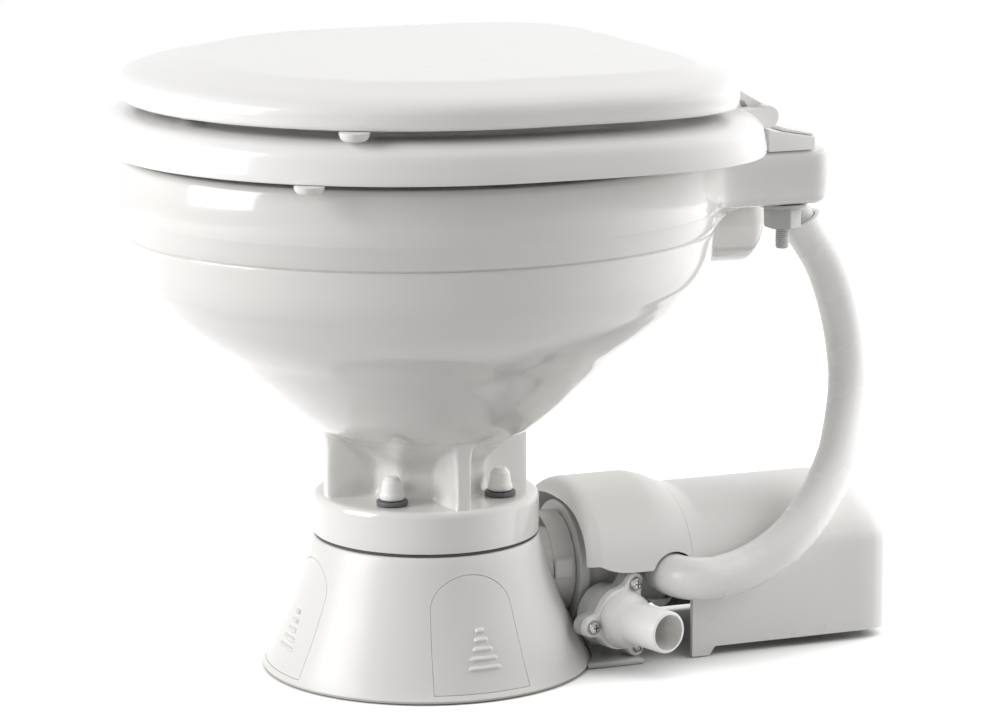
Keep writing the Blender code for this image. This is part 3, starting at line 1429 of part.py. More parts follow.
def plan_radius(turn, plan):
    """Radius of an outline with its own shape in front and behind, at an angle from the rear."""
    half_width, front, rear, front_power, rear_power = plan
    sine, cosine = abs(math.sin(turn)), math.cos(turn)
    reach, power = (rear, rear_power) if cosine > 0 else (front, front_power)
    return 1 / ((sine / half_width) ** power + (abs(cosine) / reach) ** power) ** (1 / power)


def plan_turns(count=48):
    """Even angles round the seat or the lid."""
    return [2 * math.pi * step / count for step in range(count)]


def plan_ring(turns, radii, height):
    """A level ring of the seat or the lid."""
    pairs = zip(turns, radii)
    return [Vector((radius * math.sin(turn), radius * math.cos(turn), height)) for turn, radius in pairs]


def make_seat(hinge, plastic, rubber):
    """The seat ring with its two hinge ears and its buffers."""
    turns = plan_turns()
    outer = [plan_radius(turn, SEAT_PLAN) for turn in turns]
    inner = [plan_radius(turn, SEAT_OPEN_PLAN) for turn in turns]
    rings = []
    for reach, height in SEAT_SECTION_SHARES:
        radii = [low + reach * (high - low) for low, high in zip(inner, outer)]
        rings.append(plan_ring(turns, radii, SEAT_FOOT_Z + height * SEAT_THICK))
    seat = skin("seat_ring", rings, looped=True)
    notches = []
    ears = []
    holes = []
    low, high = SEAT_FOOT_Z - OVERRUN, SEAT_FOOT_Z + SEAT_THICK + OVERRUN
    for _, side in mirror_sides():
        near, far = sorted((side * (BLOCK_INNER_X - RUNNING_GAP * 1.5), side * (EAR_INNER_X + GAP)))
        notches.append(block("notch", (near, NOTCH_FRONT_Y, low), (far, SEAT_REAR_Y + OVERRUN, high)))
        start, end = sorted((side * EAR_INNER_X, side * (EAR_INNER_X + EAR_THICK)))
        ears.append(rod("ear", KNUCKLE_R, start, end, ALONG_X, (0, HINGE_Y, HINGE_Z), 18))
        root_low = (start, HINGE_Y - EAR_ROOT, HINGE_Z - KNUCKLE_R)
        ears.append(block("ear_root", root_low, (end, HINGE_Y, HINGE_Z + KNUCKLE_R * EAR_ROOT_TOP_SHARE)))
        hole_end = side * (EAR_INNER_X + EAR_THICK * PIN_DEPTH_SHARE)
        near, far = sorted((side * (EAR_INNER_X - OVERRUN), hole_end))
        holes.append(rod("pin_hole", PIN_R + GAP, near, far, ALONG_X, (0, HINGE_Y, HINGE_Z), 12))
    join(seat, *ears)
    cut(seat, *notches, *holes)
    carried(dress(seat, plastic), hinge)
    make_bumpers("seat_bumper", SEAT_BUMPER_SHARES, SEAT_PLAN, RIM_Z + GAP, SEAT_FOOT_Z - GAP, hinge, rubber)


def make_bumpers(name, shares, plan, low, high, hinge, rubber):
    """Round buffers in pairs under the seat or the lid, placed by shares of its outline."""
    half_width, front, rear = plan[:3]
    index = 0
    for across, along in shares:
        y = -along * (front if along > 0 else rear)
        for _, side in mirror_sides():
            index += 1
            bumper = turned(
                "%s_%d" % (name, index),
                ((0, low), (BUMPER_R * BUMPER_FOOT_SHARE, low), (BUMPER_R, high), (0, high)),
                place=(side * across * half_width, y, 0),
                steps=14,
            )
            carried(dress(bumper, rubber), hinge)


def lid_radii(turns, share):
    """Outline between the flat top (0) and the rim (1)."""
    radii = []
    for turn in turns:
        flat = plan_radius(turn, LID_FLAT_PLAN)
        rim = plan_radius(turn, LID_PLAN)
        radii.append(flat + share * (rim - flat))
    return radii


def make_lid(hinge, plastic, rubber):
    """The lid with its hinge arms and its buffers."""
    turns = plan_turns()
    rings = [[Vector((0, 0, LID_FOOT_Z + LID_RISE))]]
    for share, height in LID_OUTER_SHARES:
        rings.append(plan_ring(turns, lid_radii(turns, share), LID_FOOT_Z + height * LID_RISE))
    for share, height in LID_INNER_SHARES:
        rings.append(plan_ring(turns, lid_radii(turns, share), LID_FOOT_Z + height * LID_RISE))
    rings.append([Vector((0, 0, LID_FOOT_Z + LID_RISE - LID_SKIN))])
    lid = skin("lid", rings)
    arms = []
    holes = []
    for _, side in mirror_sides():
        start, end = sorted((side * ARM_INNER_X, side * (ARM_INNER_X + ARM_THICK)))
        root_y = LID_REAR_Y - 2 * OVERRUN
        arm = [
            (HINGE_Y - KNUCKLE_R * 0.95, HINGE_Z + KNUCKLE_R * 0.31),
            (HINGE_Y + KNUCKLE_R * 0.1, HINGE_Z + KNUCKLE_R * 0.99),
            (HINGE_Y - KNUCKLE_R, HINGE_Z + KNUCKLE_R * 1.6),
            (root_y, LID_FOOT_Z + LID_RISE * 0.48),
            (root_y, LID_FOOT_Z + LID_RISE * 0.05),
            (LID_REAR_Y, LID_FOOT_Z - GAP),
            (HINGE_Y - KNUCKLE_R * 1.6, HINGE_Z + KNUCKLE_R * 1.3),
        ]
        arms.append(side_prism("arm", arm, start, end))
        arms.append(rod("knuckle", KNUCKLE_R, start, end, ALONG_X, (0, HINGE_Y, HINGE_Z), 18))
        near, far = start - OVERRUN, end + OVERRUN
        holes.append(rod("pin_hole", PIN_R + GAP, near, far, ALONG_X, (0, HINGE_Y, HINGE_Z), 12))
    join(lid, *arms)
    cut(lid, *holes)
    carried(dress(lid, plastic), hinge)
    seat_top = SEAT_FOOT_Z + SEAT_THICK
    make_bumpers("lid_bumper", LID_BUMPER_SHARES, LID_PLAN, seat_top + GAP, LID_FOOT_Z - GAP, hinge, rubber)


def block_top(y):
    """Height of the sloping joint between a hinge block and its cap."""
    share = (y - BLOCK_FRONT_Y) / (BLOCK_REAR_Y - BLOCK_FRONT_Y)
    return RIM_Z + GAP + BLOCK_FRONT_HEIGHT + share * (BLOCK_REAR_HEIGHT - BLOCK_FRONT_HEIGHT)


def along_hinge(name, radius, start, end, steps):
    """A cylinder on the hinges' common axis."""
    return rod(name, radius, start, end, ALONG_X, (0, HINGE_Y, HINGE_Z), steps)


def make_hinge_block(word, side, plastic):
    """The block on the deck with its lug, and room for the lid's knuckle."""
    foot = RIM_Z + GAP
    start, end = sorted((side * BLOCK_INNER_X, side * BLOCK_OUTER_X))
    outline = [
        (BLOCK_FRONT_Y, foot),
        (BLOCK_REAR_Y, foot),
        (BLOCK_REAR_Y, block_top(BLOCK_REAR_Y)),
        (BLOCK_FRONT_Y, block_top(BLOCK_FRONT_Y)),
    ]
    body = side_prism("hinge_block_" + word, outline, start, end)
    lug_start, lug_end = sorted((side * BLOCK_INNER_X, side * (BLOCK_INNER_X + LUG_THICK)))
    lug = along_hinge("lug", KNUCKLE_R, lug_start, lug_end, 18)
    lug_root = side_prism(
        "lug_root",
        [
            (HINGE_Y - KNUCKLE_R * 0.8, HINGE_Z - KNUCKLE_R * 0.6),
            (BLOCK_FRONT_Y - KNUCKLE_R * 0.6, foot + KNUCKLE_R * 0.5),
            (BLOCK_FRONT_Y + KNUCKLE_R * 1.4, foot + KNUCKLE_R * 0.5),
            (HINGE_Y + KNUCKLE_R * 0.9, HINGE_Z - KNUCKLE_R * 0.3),
        ],
        lug_start,
        lug_end,
    )
    join(body, lug, lug_root)
    bolt_place = (side * HINGE_BOLT_X, HINGE_BOLT_Y, 0)
    head_room, hole_end = foot + HINGE_HEAD_SEAT - GAP, foot + 2 * OVERRUN
    room_near, room_far = side * (BLOCK_INNER_X + LUG_THICK + GAP), side * (BLOCK_OUTER_X + OVERRUN)
    cut(
        body,
        along_hinge("pin_hole", PIN_R + GAP, lug_start - OVERRUN, lug_end + OVERRUN, 12),
        along_hinge("room", KNUCKLE_R + RUNNING_GAP, min(room_near, room_far), max(room_near, room_far), 18),
        rod("bolt_hole", HINGE_BOLT_R + GAP * 2, foot - OVERRUN, hole_end, place=bolt_place, steps=12),
        rod("head_room", HINGE_BOLT_HEAD_R + RUNNING_GAP, head_room, HINGE_Z, place=bolt_place, steps=16),
    )
    return dress(body, plastic)


def make_hinge_cap(word, side, plastic):
    """The sloping cap over the bolt's head."""
    start, end = sorted((side * BLOCK_INNER_X, side * BLOCK_OUTER_X))
    front, rear = BLOCK_FRONT_Y + KNUCKLE_R * CAP_FRONT_SHARE, BLOCK_REAR_Y - RUNNING_GAP
    cap = side_prism(
        "hinge_cap_" + word,
        [
            (front, block_top(front) + GAP),
            (rear, block_top(BLOCK_REAR_Y) + GAP),
            (rear - RUNNING_GAP, block_top(BLOCK_REAR_Y) + BLOCK_CAP_THICK),
            (front + RUNNING_GAP, block_top(front) + GAP + BLOCK_CAP_THICK),
        ],
        start + RUNNING_GAP / 2,
        end - RUNNING_GAP / 2,
    )
    return dress(cap, plastic)


def make_hinge_pin(word, side, steel):
    """The pin through the block's lug, the lid's knuckle and the seat's ear."""
    near = side * (BLOCK_INNER_X - RUNNING_GAP / 2)
    far = side * (EAR_INNER_X + EAR_THICK * PIN_DEPTH_SHARE - RUNNING_GAP)
    return dress(along_hinge("hinge_pin_" + word, PIN_R, min(near, far), max(near, far), 12), steel)


def make_hinge_bolt(word, side, grey):
    """The bolt that holds the block on the deck, and its nut under the deck."""
    place = (side * HINGE_BOLT_X, HINGE_BOLT_Y, 0)
    head_foot = RIM_Z + GAP + HINGE_HEAD_SEAT
    bolt = turned(
        "hinge_bolt_" + word,
        (
            (0, HINGE_BOLT_END_Z),
            (HINGE_BOLT_R - RUNNING_GAP, HINGE_BOLT_END_Z),
            (HINGE_BOLT_R, HINGE_BOLT_END_Z + RUNNING_GAP),
            (HINGE_BOLT_R, head_foot),
            (HINGE_BOLT_HEAD_R, head_foot),
            (HINGE_BOLT_HEAD_R, head_foot + HINGE_BOLT_HEAD_THICK),
            (0, head_foot + HINGE_BOLT_HEAD_THICK),
        ),
        place=place,
        steps=12,
    )
    dress(bolt, grey)
    top = DECK_UNDER_Z - GAP
    flange_foot = top - HINGE_FLANGE_THICK
    nut_foot, nut_top = flange_foot - HINGE_NUT_THICK, top - HINGE_FLANGE_THICK / 2
    nut = rod("hinge_nut_" + word, HINGE_NUT_R, nut_foot, nut_top, place=place, steps=6)
    join(nut, rod("flange", HINGE_FLANGE_R, flange_foot, top, place=place, steps=20))
    cut(nut, rod("thread", HINGE_BOLT_R + GAP, HINGE_BOLT_END_Z, RIM_Z, place=place, steps=12))
    dress(nut, grey)


def build():
    """Builds the whole toilet."""
    clear_scene()
    china = finish("vitreous_china", (0.93, 0.93, 0.92), 0.12)
    shell = finish("pump_plastic", (0.72, 0.72, 0.72), 0.35)
    cover_white = finish("cover_plastic", (0.90, 0.90, 0.89), 0.30)
    seat_white = finish("seat_plastic", (0.94, 0.94, 0.94), 0.15)
    port_white = finish("port_plastic", (0.92, 0.92, 0.91), 0.28)
    hose_white = finish("hose_vinyl", (0.92, 0.92, 0.91), 0.32)
    rubber = finish("black_rubber", (0.05, 0.05, 0.05), 0.6)
    soft_white = finish("white_rubber", (0.88, 0.88, 0.87), 0.5)
    dark = finish("dark_plastic", (0.18, 0.18, 0.19), 0.4)
    steel = finish("stainless_steel", (0.72, 0.72, 0.74), 0.25, 1.0)
    motor_metal = finish("motor_enamel", (0.12, 0.12, 0.13), 0.45, 0.2)
    iron = finish("armature_iron", (0.45, 0.43, 0.42), 0.4, 1.0)

    make_bowl(china)
    make_base(shell)
    for index, turn in enumerate(PANEL_TURNS, 1):
        make_panel(index, turn, shell)
    make_foot_seal(rubber)
    make_foot_parts(dark, steel, soft_white)

    make_macerator_housing(shell)
    make_chopper_plate(steel)
    make_discharge_port(port_white, rubber, steel)
    make_flush_pump(shell, rubber)
    make_motor(motor_metal, steel)
    rotor = pivot("rotor_axis", (0, SHAFT_START_Y, AXIS_Z))
    make_shaft(rotor, iron)
    make_blade(rotor, steel)
    make_impeller(rotor, shell)
    make_flexible_impeller(rotor, rubber)

    make_cover(cover_white)
    make_grommet(rubber)
    make_hose(hose_white)
    make_elbow(shell, rubber)

    seat_hinge = pivot("seat_hinge", (0, HINGE_Y, HINGE_Z))
    lid_hinge = pivot("lid_hinge", (0, HINGE_Y, HINGE_Z), seat_hinge)
    make_seat(seat_hinge, seat_white, soft_white)
    make_lid(lid_hinge, seat_white, soft_white)
    for word, side in mirror_sides():
        make_hinge_block(word, side, seat_white)
        make_hinge_cap(word, side, seat_white)
        make_hinge_pin(word, side, steel)
        make_hinge_bolt(word, side, shell)


build()
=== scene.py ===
"""Looks of the electric marine toilet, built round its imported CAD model.

Every sub-assembly is a class that holds its sizes in metres, builds its meshes in the shared frame and
dresses them in procedural finishes. The origin is the middle of the base on the floor, +Z is up, -Y is the
front of the bowl and +Y runs along the pump and motor.
"""

import logging
import math
from collections.abc import Callable, Sequence
from dataclasses import dataclass
from enum import Enum

import bmesh
import bpy
import numpy as np
from mathutils import Matrix, Vector


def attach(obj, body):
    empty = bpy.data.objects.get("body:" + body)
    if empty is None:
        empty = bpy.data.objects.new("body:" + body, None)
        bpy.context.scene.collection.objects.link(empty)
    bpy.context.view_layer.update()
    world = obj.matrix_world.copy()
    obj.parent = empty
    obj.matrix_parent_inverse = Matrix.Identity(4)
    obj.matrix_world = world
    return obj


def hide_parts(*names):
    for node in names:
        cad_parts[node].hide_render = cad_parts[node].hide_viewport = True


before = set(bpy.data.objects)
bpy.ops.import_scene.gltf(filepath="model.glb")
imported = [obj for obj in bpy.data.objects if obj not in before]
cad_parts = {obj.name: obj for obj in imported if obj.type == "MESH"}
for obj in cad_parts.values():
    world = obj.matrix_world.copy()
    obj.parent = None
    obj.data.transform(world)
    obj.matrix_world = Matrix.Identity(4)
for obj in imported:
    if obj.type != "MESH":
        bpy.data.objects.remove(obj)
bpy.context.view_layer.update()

log = logging.getLogger("marine_toilet")

Colour = tuple[float, float, float]
Profile = Sequence[tuple[float, float]]
Ring = list[Vector]

# Edges sharper than this stay crisp.
SHARP_ANGLE = math.radians(38)
# Room between neighbouring pieces, how far a cutter stands out of what it cuts, and the least length.
GAP = 0.0003
OVERRUN = 0.004
TINY = 1e-9
# Height of the axis that the pumps and the motor share.
PUMP_AXIS_Z = 0.056

# What all finishes share: sizes in metres, and the start, end, low and high of a spread.
COAT_ROUGHNESS = 0.04
SCATTER_RADII = (0.004, 0.0035, 0.003)
CLOUD_SIZE = 0.055
CLOUD_SPREAD = (0.25, 0.75, 0.0, 1.0)
EDGE_SPREAD = (0.53, 0.62, 0.0, 0.45)
# Painted shade: how far pointiness darkens every finish in its hollows.
HOLLOW_SHADE_SPREAD = (0.47, 0.38, 0.0, 0.55)
MARK_SPREAD = (0.2, 0.8)
MARKS_PER_GRAIN = 14
SPECK_SCALE = 95.0
SPECK_FADE = (0.6, 0.0, 0.55)
SPECK_COLOUR = (0.34, 0.31, 0.26)
RIPPLE_STRENGTH = 0.5
GRAIN_STRENGTH = 0.25


class Body(Enum):
    """The CAD bodies that the pieces made here ride on."""

    TOILET = "toilet"
    SEAT = "seat"
    LID = "lid"


class Slot(Enum):
    """The record's material slots."""

    CHINA = "vitreous_china"
    PUMP = "pump_plastic"
    COVER = "cover_plastic"
    SEAT = "seat_plastic"
    PORT = "port_plastic"
    HOSE = "hose_vinyl"
    BLACK_RUBBER = "black_rubber"
    WHITE_RUBBER = "white_rubber"
    DARK = "dark_plastic"
    STEEL = "stainless_steel"
    ENAMEL = "motor_enamel"
    IRON = "armature_iron"


class Axis(Enum):
    """Which way a turned shape points."""

    UP = "up"
    ALONG_X = "along_x"
    ALONG_Y = "along_y"

    def matrix(self) -> Matrix:
        """The turn from a shape's own upright axis to this one.

        Returns:
            The turn.
        """
        if self is Axis.ALONG_X:
            return Matrix(((0, 0, 1, 0), (0, 1, 0, 0), (-1, 0, 0, 0), (0, 0, 0, 1)))
        if self is Axis.ALONG_Y:
            return Matrix(((1, 0, 0, 0), (0, 0, 1, 0), (0, -1, 0, 0), (0, 0, 0, 1)))
        return Matrix.Identity(4)


class Side(Enum):
    """The two sides of the toilet, seen from its front."""

    RIGHT = 1
    LEFT = -1

    @property
    def word(self) -> str:
        """The side's word in node names."""
        return self.name.lower()


class Grain(Enum):
    """How a finish's fine marks lie."""

    EVEN = (1.0, 1.0, 1.0)
    ALONG_Y = (1.0, 0.06, 1.0)
    BRUSHED = (0.12, 1.0, 1.0)


# Finishes


class ShaderSheet:
    """A material's node tree, with short ways to add what the finishes share."""

    def __init__(self, name: str) -> None:
        """Starts a material with a bare Principled shader.

        Args:
            name: The material's name.
        """
        self.material = bpy.data.materials.new(name)
        self.material.use_nodes = True
        self.tree = self.material.node_tree
        self.shader = self.tree.nodes["Principled BSDF"]
        self.place = self.add("ShaderNodeTexCoord").outputs["Object"]

    def add(self, kind: str, **settings: object) -> bpy.types.Node:
        """Adds a node.

        Args:
            kind: Blender's name of the node type.
            **settings: Properties to set on it.

        Returns:
            The new node.
        """
        node = self.tree.nodes.new(kind)
        for name, value in settings.items():
            setattr(node, name, value)
        return node

    def join(self, output: bpy.types.NodeSocket, socket: bpy.types.NodeSocket) -> None:
        """Links an output to an input."""
        self.tree.links.new(output, socket)

    def noise(self, size: float, detail: float = 3.0, grain: Grain = Grain.EVEN) -> bpy.types.NodeSocket:
        """Cloudy noise with features of a given size.

        Args:
            size: Rough size of a feature in metres.
            detail: How many finer layers it has.
            grain: How the features are stretched.

        Returns:
            The noise's value, from 0 to 1.
        """
        stretch = self.add("ShaderNodeMapping")
        stretch.inputs["Scale"].default_value = grain.value
        cloud = self.add("ShaderNodeTexNoise")
        cloud.inputs["Scale"].default_value = 1 / size
        cloud.inputs["Detail"].default_value = detail
        self.join(self.place, stretch.inputs["Vector"])
        self.join(stretch.outputs["Vector"], cloud.inputs["Vector"])
        return cloud.outputs["Fac"]

    def spread(
        self, value: bpy.types.NodeSocket, start: float, end: float, low: float, high: float,
    ) -> bpy.types.NodeSocket:
        """Maps a value from one range to another, held at its ends.

        Args:
            value: The value to map.
            start: The value that becomes low.
            end: The value that becomes high.
            low: Result at the start.
            high: Result at the end.

        Returns:
            The mapped value.
        """
        node = self.add("ShaderNodeMapRange")
        for name, number in (("From Min", start), ("From Max", end), ("To Min", low), ("To Max", high)):
            node.inputs[name].default_value = number
        self.join(value, node.inputs["Value"])
        return node.outputs["Result"]

    def blend(
        self, amount: bpy.types.NodeSocket, first: Colour | bpy.types.NodeSocket, second: Colour,
    ) -> bpy.types.NodeSocket:
        """Mixes two colours.

        Args:
            amount: How much of the second colour shows.
            first: A colour or the output of an earlier mix.
            second: The colour that is mixed in.

        Returns:
            The mixed colour.
        """
        node = self.add("ShaderNodeMix", data_type="RGBA")
        self.join(amount, node.inputs[0])
        if isinstance(first, tuple):
            node.inputs[6].default_value = (*first, 1.0)
        else:
            self.join(first, node.inputs[6])
        node.inputs[7].default_value = (*second, 1.0)
        return node.outputs[2]

    def relief(
        self, height: bpy.types.NodeSocket, depth: float, strength: float,
        below: bpy.types.NodeSocket | None = None,
    ) -> bpy.types.NodeSocket:
        """Bumps the surface.

        Args:
            height: The height pattern.
            depth: Its depth in metres.
            strength: How strongly it shows, from 0 to 1.
            below: The normal of a coarser relief that this one lies on.

        Returns:
            The bumped normal.
        """
        node = self.add("ShaderNodeBump")
        node.inputs["Strength"].default_value = strength
        node.inputs["Distance"].default_value = depth
        self.join(height, node.inputs["Height"])
        if below is not None:
            self.join(below, node.inputs["Normal"])
        return node.outputs["Normal"]


@dataclass(frozen=True)
class Finish:
    """One surface finish.

    Attributes:
        name: The material's name.
        slot: The record's slot that it belongs to.
        colour: The main colour.
        cloud: A second colour that drifts over the first.
        edge: The colour of rubbed outer edges.
        hollow_shade: Painted shade: a darker colour that pointiness mixes into hollows.
        roughness: The middle of the roughness.
        roughness_drift: How far the roughness wanders either way.
        ripple: Size and depth of the slow waves in the surface.
        grain_size: Size of the fine grain.
        grain_depth: Depth of the fine grain.
        grain: How the fine grain lies.
        metallic: 1 for bare metal.
        coat: Strength of a clear coat.
        translucence: How much light scatters inside.
        specks: Share of the surface under tiny dark specks.
    """

    name: str
    slot: Slot
    colour: Colour
    cloud: Colour
    edge: Colour
    hollow_shade: Colour
    roughness: float
    roughness_drift: float
    ripple: tuple[float, float]
    grain_size: float
    grain_depth: float
    grain: Grain = Grain.EVEN
    metallic: float = 0.0
    coat: float = 0.0
    translucence: float = 0.0
    specks: float = 0.0

    def material(self) -> bpy.types.Material:
        """The finish as a material, made on its first use."""
        made = bpy.data.materials.get(self.name + "_look")
        return made if made else self.draw()

    def draw(self) -> bpy.types.Material:
        """Draws the finish's nodes.

        Returns:
            The new material.
        """
        sheet = ShaderSheet(self.name + "_look")
        shader = sheet.shader
        shader.inputs["Metallic"].default_value = self.metallic
        shader.inputs["Coat Weight"].default_value = self.coat
        shader.inputs["Coat Roughness"].default_value = COAT_ROUGHNESS
        shader.inputs["Subsurface Weight"].default_value = self.translucence
        shader.inputs["Subsurface Radius"].default_value = SCATTER_RADII
        shader.inputs["Subsurface Scale"].default_value = 1.0
        drift = sheet.noise(CLOUD_SIZE, 2.0)
        colour = sheet.blend(sheet.spread(drift, *CLOUD_SPREAD), self.colour, self.cloud)
        bend = sheet.add("ShaderNodeNewGeometry").outputs["Pointiness"]
        colour = sheet.blend(sheet.spread(bend, *EDGE_SPREAD), colour, self.edge)
        # Painted shade: pointiness darkens the finish in its hollows.
        colour = sheet.blend(sheet.spread(bend, *HOLLOW_SHADE_SPREAD), colour, self.hollow_shade)
        if self.specks:
            cells = sheet.add("ShaderNodeTexVoronoi")
            cells.inputs["Scale"].default_value = SPECK_SCALE
            sheet.join(sheet.place, cells.inputs["Vector"])
            inner, low, high = SPECK_FADE
            dots = sheet.spread(cells.outputs["Distance"], self.specks, self.specks * inner, low, high)
            colour = sheet.blend(dots, colour, SPECK_COLOUR)
        sheet.join(colour, shader.inputs["Base Color"])
        marks = sheet.noise(self.grain_size * MARKS_PER_GRAIN, 2.0, self.grain)
        low, high = self.roughness - self.roughness_drift, self.roughness + self.roughness_drift
        sheet.join(sheet.spread(marks, *MARK_SPREAD, low, high), shader.inputs["Roughness"])
        size, depth = self.ripple
        waves = sheet.relief(sheet.noise(size, 0.0), depth, RIPPLE_STRENGTH)
        grain = sheet.noise(self.grain_size, 2.0, self.grain)
        sheet.join(sheet.relief(grain, self.grain_depth, GRAIN_STRENGTH, waves), shader.inputs["Normal"])
        return sheet.material


# Each finish's fourth colour is painted shade that pointiness mixes into its hollows.
CHINA = Finish(
    "glazed_china", Slot.CHINA, (0.73, 0.715, 0.70), (0.71, 0.695, 0.675), (0.77, 0.76, 0.745),
    (0.62, 0.60, 0.575), 0.13, 0.035, (0.05, 0.0009), 0.0035, 0.00002, coat=0.5, specks=0.018,
)
BASE_GREY = Finish(
    "base_plastic", Slot.PUMP, (0.73, 0.715, 0.70), (0.715, 0.70, 0.685), (0.78, 0.77, 0.755),
    (0.54, 0.525, 0.51), 0.34, 0.05, (0.06, 0.0003), 0.002, 0.00004,
)
# A darker copy of the base's grey plastic, painted shade: the pump housings are the base's plastic seen in
# shadow under the bowl. The inlet elbow and the impeller wear it too.
SHADED_PUMP_GREY = Finish(
    "pump_plastic", Slot.PUMP, (0.58, 0.585, 0.57), (0.56, 0.565, 0.55), (0.65, 0.65, 0.635),
    (0.42, 0.42, 0.41), 0.36, 0.06, (0.04, 0.0003), 0.002, 0.00005,
)
COVER_WHITE = Finish(
    "cover_plastic", Slot.COVER, (0.83, 0.815, 0.80), (0.815, 0.80, 0.78), (0.86, 0.85, 0.835),
    (0.66, 0.645, 0.625), 0.31, 0.05, (0.07, 0.0004), 0.0022, 0.00004,
)
SEAT_WHITE = Finish(
    "seat_plastic", Slot.SEAT, (0.87, 0.86, 0.85), (0.855, 0.845, 0.83), (0.89, 0.885, 0.88),
    (0.76, 0.745, 0.73), 0.2, 0.04, (0.09, 0.0004), 0.0025, 0.00003, coat=0.25,
)
PORT_WHITE = Finish(
    "port_plastic", Slot.PORT, (0.89, 0.875, 0.86), (0.87, 0.855, 0.84), (0.91, 0.90, 0.89),
    (0.72, 0.70, 0.68), 0.33, 0.06, (0.03, 0.0002), 0.0016, 0.00003, translucence=0.15,
)
HOSE_WHITE = Finish(
    "hose_vinyl", Slot.HOSE, (0.88, 0.87, 0.86), (0.865, 0.855, 0.84), (0.90, 0.895, 0.89),
    (0.74, 0.72, 0.70), 0.27, 0.04, (0.05, 0.0003), 0.002, 0.00003, translucence=0.2,
)
WHITE_RUBBER = Finish(
    "buffer_rubber", Slot.WHITE_RUBBER, (0.80, 0.795, 0.78), (0.78, 0.77, 0.755), (0.83, 0.825, 0.815),
    (0.62, 0.61, 0.58), 0.42, 0.06, (0.006, 0.0001), 0.0005, 0.00003, translucence=0.2,
)
BLACK_RUBBER = Finish(
    "black_rubber", Slot.BLACK_RUBBER, (0.045, 0.045, 0.047), (0.06, 0.06, 0.062), (0.10, 0.10, 0.10),
    (0.02, 0.02, 0.02), 0.58, 0.1, (0.008, 0.0001), 0.0006, 0.00006,
)
WASHER_DARK = Finish(
    "washer_plastic", Slot.DARK, (0.085, 0.088, 0.09), (0.11, 0.112, 0.115), (0.2, 0.2, 0.2),
    (0.04, 0.04, 0.04), 0.4, 0.08, (0.006, 0.0001), 0.0006, 0.00004,
)
NUT_GREY = Finish(
    "nut_plastic", Slot.PUMP, (0.50, 0.505, 0.495), (0.48, 0.485, 0.475), (0.60, 0.60, 0.59),
    (0.32, 0.32, 0.31), 0.33, 0.06, (0.012, 0.0001), 0.0015, 0.00003, translucence=0.1,
)
BOLT_STEEL = Finish(
    "bolt_steel", Slot.STEEL, (0.42, 0.42, 0.41), (0.36, 0.36, 0.355), (0.60, 0.60, 0.59),
    (0.18, 0.18, 0.175), 0.27, 0.08, (0.004, 0.00008), 0.0004, 0.00003, Grain.BRUSHED, 1.0,
)
MOTOR_BLACK = Finish(
    "motor_enamel", Slot.ENAMEL, (0.05, 0.052, 0.055), (0.065, 0.066, 0.07), (0.14, 0.14, 0.14),
    (0.02, 0.02, 0.02), 0.4, 0.08, (0.01, 0.0002), 0.0008, 0.00005, coat=0.2,
)
CORE_IRON = Finish(
    "core_iron", Slot.IRON, (0.36, 0.34, 0.32), (0.28, 0.25, 0.22), (0.5, 0.49, 0.47), (0.14, 0.11, 0.09),
    0.42, 0.1, (0.006, 0.0002), 0.0006, 0.00005, Grain.ALONG_Y, 1.0,
)


# Shapes


def full_turn(steps: int) -> list[float]:
    """Even angles all the way round."""
    return [2 * math.pi * step / steps for step in range(steps)]


def quarter_round(steps: int, first: int = 0) -> list[tuple[float, float]]:
    """How far a quarter-round edge of radius 1 lies from its two sides.

    Args:
        steps: How many pieces the quarter turn has.
        first: The step to start from.

    Returns:
        Pairs of 1 less the cosine and 1 less the sine.
    """
    turns = [math.pi / 2 * step / steps for step in range(first, steps + 1)]
    return [(1 - math.cos(turn), 1 - math.sin(turn)) for turn in turns]


def eased(share: float) -> float:
    """A share held between 0 and 1, with a soft start and end."""
    share = min(max(share, 0.0), 1.0)
    return share * share * (3 - 2 * share)


def flowing(rows: Sequence[Sequence[float]], steps: int, looped: bool = False) -> list[tuple[float, ...]]:
    """Rows of numbers with smooth rows added between them, which never swing past the given ones.

    Args:
        rows: The rows to pass through.
        steps: How many rows stand for each given one.
        looped: Whether the last row leads back to the first.

    Returns:
        The given rows and those between them.
    """
    table = np.array(rows, float)
    if looped:
        table = np.vstack([table[-2:], table, table[:2]])
    chords = np.sqrt(np.linalg.norm(np.diff(table, axis=0), axis=1))[:, None]
    slopes = np.diff(table, axis=0) / chords
    tangents = np.zeros_like(table)
    tangents[0], tangents[-1] = slopes[0], slopes[-1]
    left, right = slopes[:-1], slopes[1:]
    near, far = 2 * chords[1:] + chords[:-1], chords[1:] + 2 * chords[:-1]
    with np.errstate(divide="ignore", invalid="ignore"):
        blended = (near + far) / (near / left + far / right)
    tangents[1:-1] = np.where(left * right > 0, blended, 0.0)
    spans = range(2, len(table) - 2) if looped else range(len(table) - 1)
    made = []
    for index in spans:
        span = chords[index]
        for step in range(steps):
            t = step / steps
            made.append(tuple(
                (2 * t**3 - 3 * t**2 + 1) * table[index] + (t**3 - 2 * t**2 + t) * span * tangents[index]
                + (3 * t**2 - 2 * t**3) * table[index + 1] + (t**3 - t**2) * span * tangents[index + 1]
            ))
    if not looped:
        made.append(tuple(table[-1]))
    return made


